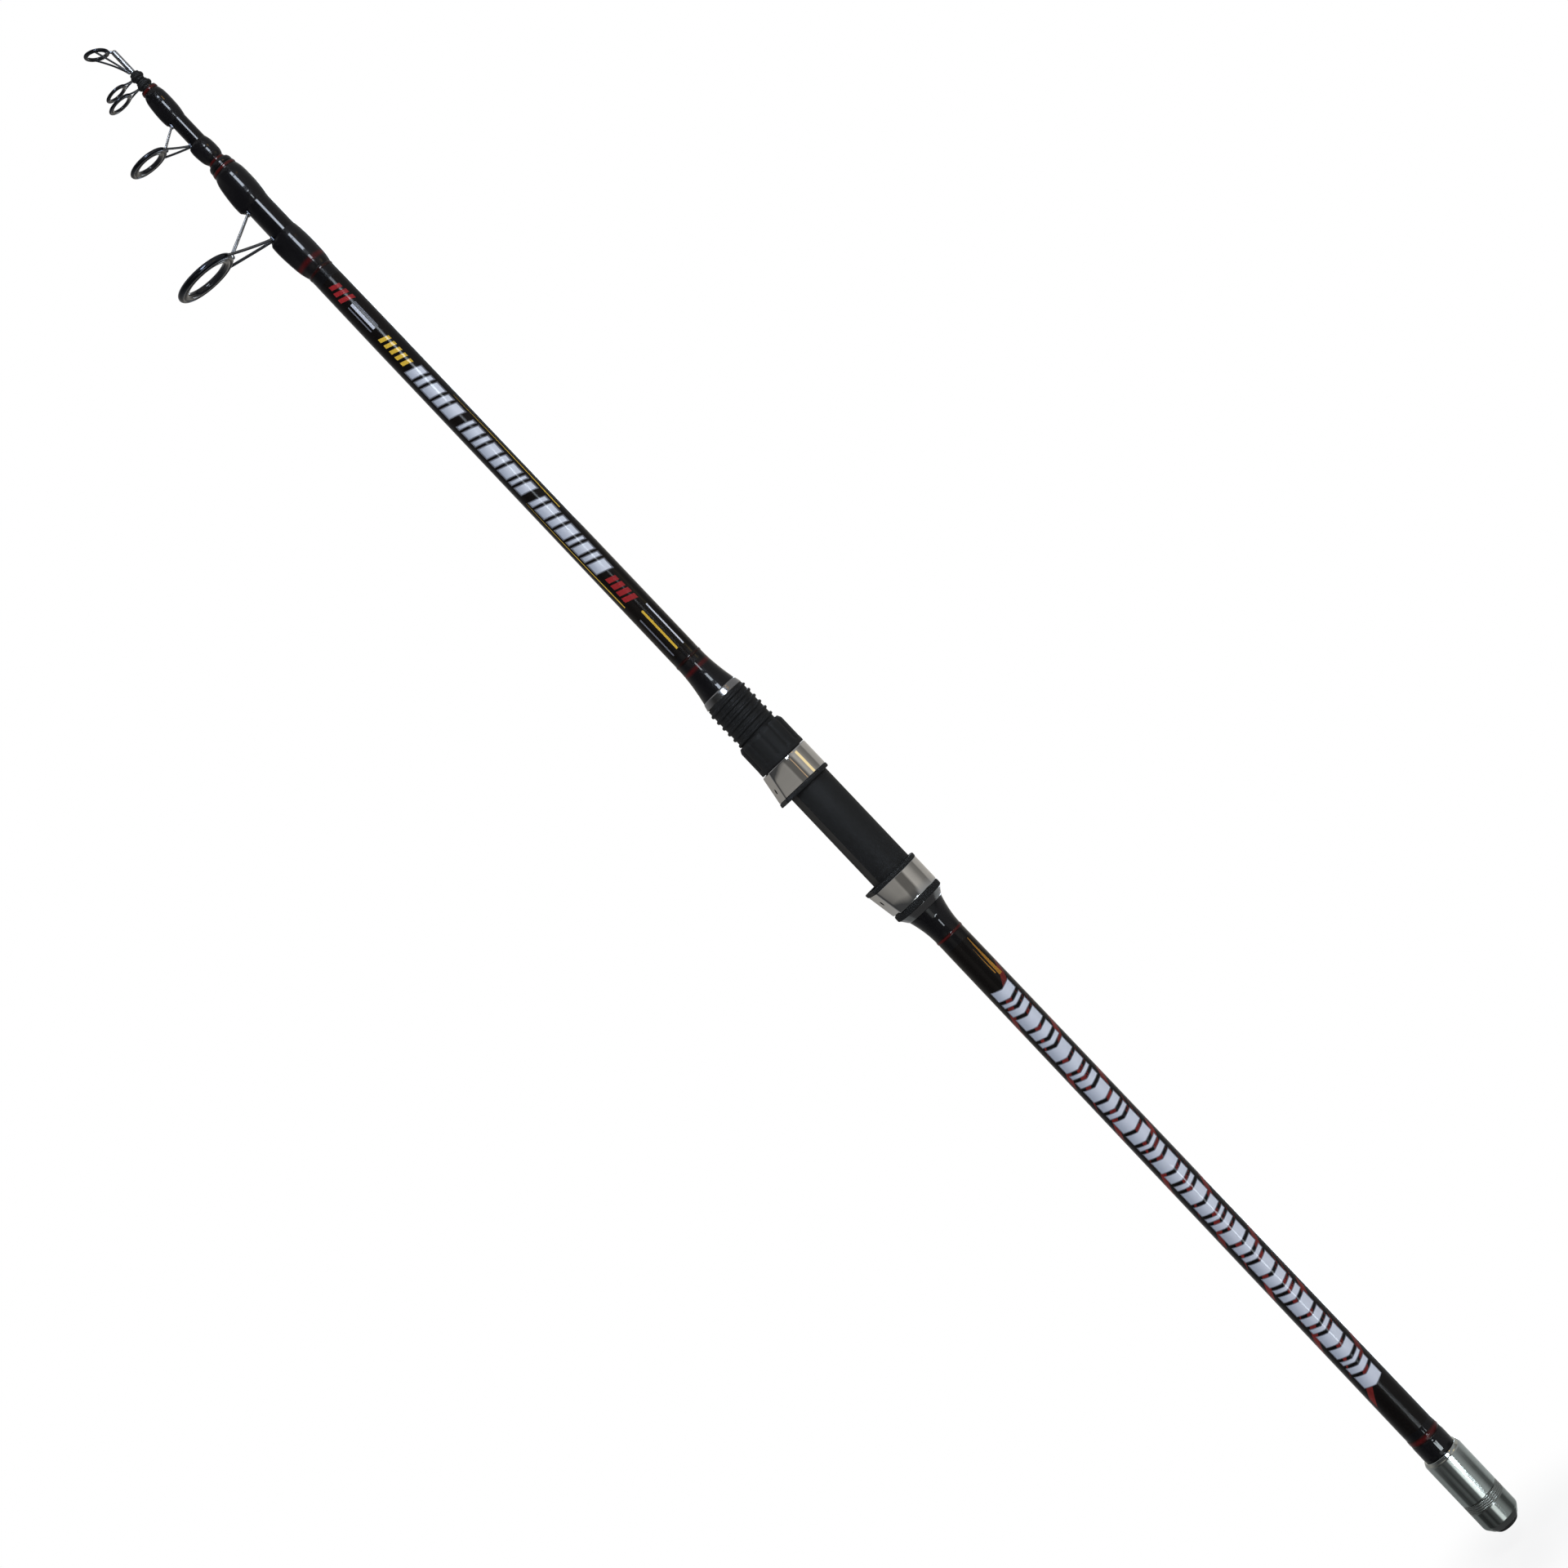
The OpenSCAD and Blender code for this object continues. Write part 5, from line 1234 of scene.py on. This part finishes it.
def filmSleeve(name, low, top, stations=20):
    zs = [low + (top - low) * i / stations for i in range(stations + 1)]
    outside = [(at(buttTaper, z) + printSize["proud"], z) for z in zs]
    inside = [(at(buttTaper, z) - printSize["under"], z) for z in reversed(zs)]
    addPiece(name, [turned(outside + inside, 64)], "printFilm", "butt")


def barRow(low, top, lengths, gap, groupGap, group=8):
    # middles and lengths of bars that follow each other, with a wider gap after each group
    spots, z = [], low
    while z + lengths[len(spots) % len(lengths)] <= top:
        length = lengths[len(spots) % len(lengths)]
        spots.append((z + length / 2, length))
        z += length + (gap if len(spots) % group else groupGap)
    return spots


rearRow = dict(low=77.0, top=291.0, lengths=(5.4, 2.6, 1.4, 4.2, 5.4, 1.8, 3.4), gap=2.0, groupGap=2.0)
rearPrintSize = dict(chevron=9.2, edge=10.0, edgeMore=0.7, fold=0.3, streak=16.5, streaks=15, firstStreak=84, step=14.2)


def makeRearPrint(chevron, edge, edgeMore, fold, streak, streaks, firstStreak, step):
    # red streaks, folded bars with a darker edge, and by the seat amber bars that are a painted reflection of the warm
    # lamp
    row = barRow(**rearRow)
    slanted = [bar(-1.0 + i % 3, firstStreak + step * i, streak, 4.8 + 2.6 * (i % 2), -1.6, 0.5 * (i % 2))
               for i in range(streaks)]
    edges = [bar(0, z, edge, long + edgeMore, fold=fold) for z, long in row]
    # the amber bars are a painted reflection of the warm lamp
    warmReflection = [bar(-4.4, 302.0, 1.9, 19.0, taper=0.85, bow=0.8), bar(-2.6, 300.5, 0.5, 13.0, taper=0.9, bow=0.5)]
    addBars("rearStreaks", "rear", slanted, "printStreak", "streak")
    addBars("rearEdges", "rear", edges, "printShade", "edge")
    addBars("rearChevrons", "rear", [bar(0, z, chevron, long, fold=fold) for z, long in row], "printSilver", "bar")
    addBars("rearWarmReflection", "rear", warmReflection, "paintedWarmReflection", "warmReflection")


frontRow = dict(low=512.0, top=620.0, lengths=(4.6, 1.8, 3.4, 1.2, 4.6, 2.6), gap=1.9, groupGap=4.6)
frontPrintSize = dict(wide=6.4, edge=7.6, edgeMore=0.9, slant=0.34)


def makeFrontPrint(wide, edge, edgeMore, slant):
    # fine lines by the seat, red blocks, outlined bars in three groups, yellow ticks, more red blocks
    row = barRow(**frontRow)
    edges = [bar(0.3, z, edge, long + edgeMore, slant) for z, long in row]
    addBars("frontEdges", "front", edges, "printShade", "edge")
    addBars("frontBars", "front", [bar(0.3, z, wide, long, slant) for z, long in row], "printSilver", "bar")
    reds = [bar(0.4, 497.5 + 3.3 * i, 5.4 - 0.4 * i, 2.3, slant) for i in range(4)]
    reds += [bar(0.2, 657.5 + 3.1 * i, 6.2 - 0.9 * i, 1.9, slant) for i in range(3)]
    ticks = [bar(0.3, 623.5 + 3.1 * i, 4.4, 1.7, slant) for i in range(5)]
    lines = [bar(-4.7, 572.0, 0.55, 60.0, taper=0.9, bow=-1.4), bar(4.9, 524.0, 0.55, 56.0, taper=0.9, bow=1.2)]
    greys = [bar(3.6, 479.0, 0.6, 19.0), bar(-1.4, 648.0, 0.5, 13.0), bar(2.2, 648.0, 0.5, 13.0)]
    addBars("frontWhites", "front", [bar(-2.9, 481.0, 0.6, 21.0), bar(0.4, 648.0, 1.2, 13.0)], "printSilver")
    addBars("frontReds", "front", reds, "printRed")
    addBars("frontYellows", "front", [bar(0.4, 480.5, 0.9, 20.0)] + ticks + lines, "printYellow")
    addBars("frontGreys", "front", greys, "printShade")


for filmName, filmEnds in filmSize.items():
    filmSleeve(filmName, *filmEnds)
makeRearPrint(**rearPrintSize)
makeFrontPrint(**frontPrintSize)
print("rod: print laid on")

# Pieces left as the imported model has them, with their own finishes
for nodeName, nodeFinish in (("cap_cushion", "rubber"), ("seat_arbors", "arborFoam")):
    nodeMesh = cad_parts[nodeName].data
    nodeMesh.materials.clear()
    nodeMesh.materials.append(finishes[nodeFinish])

bpy.context.view_layer.update()
print("rod: done")
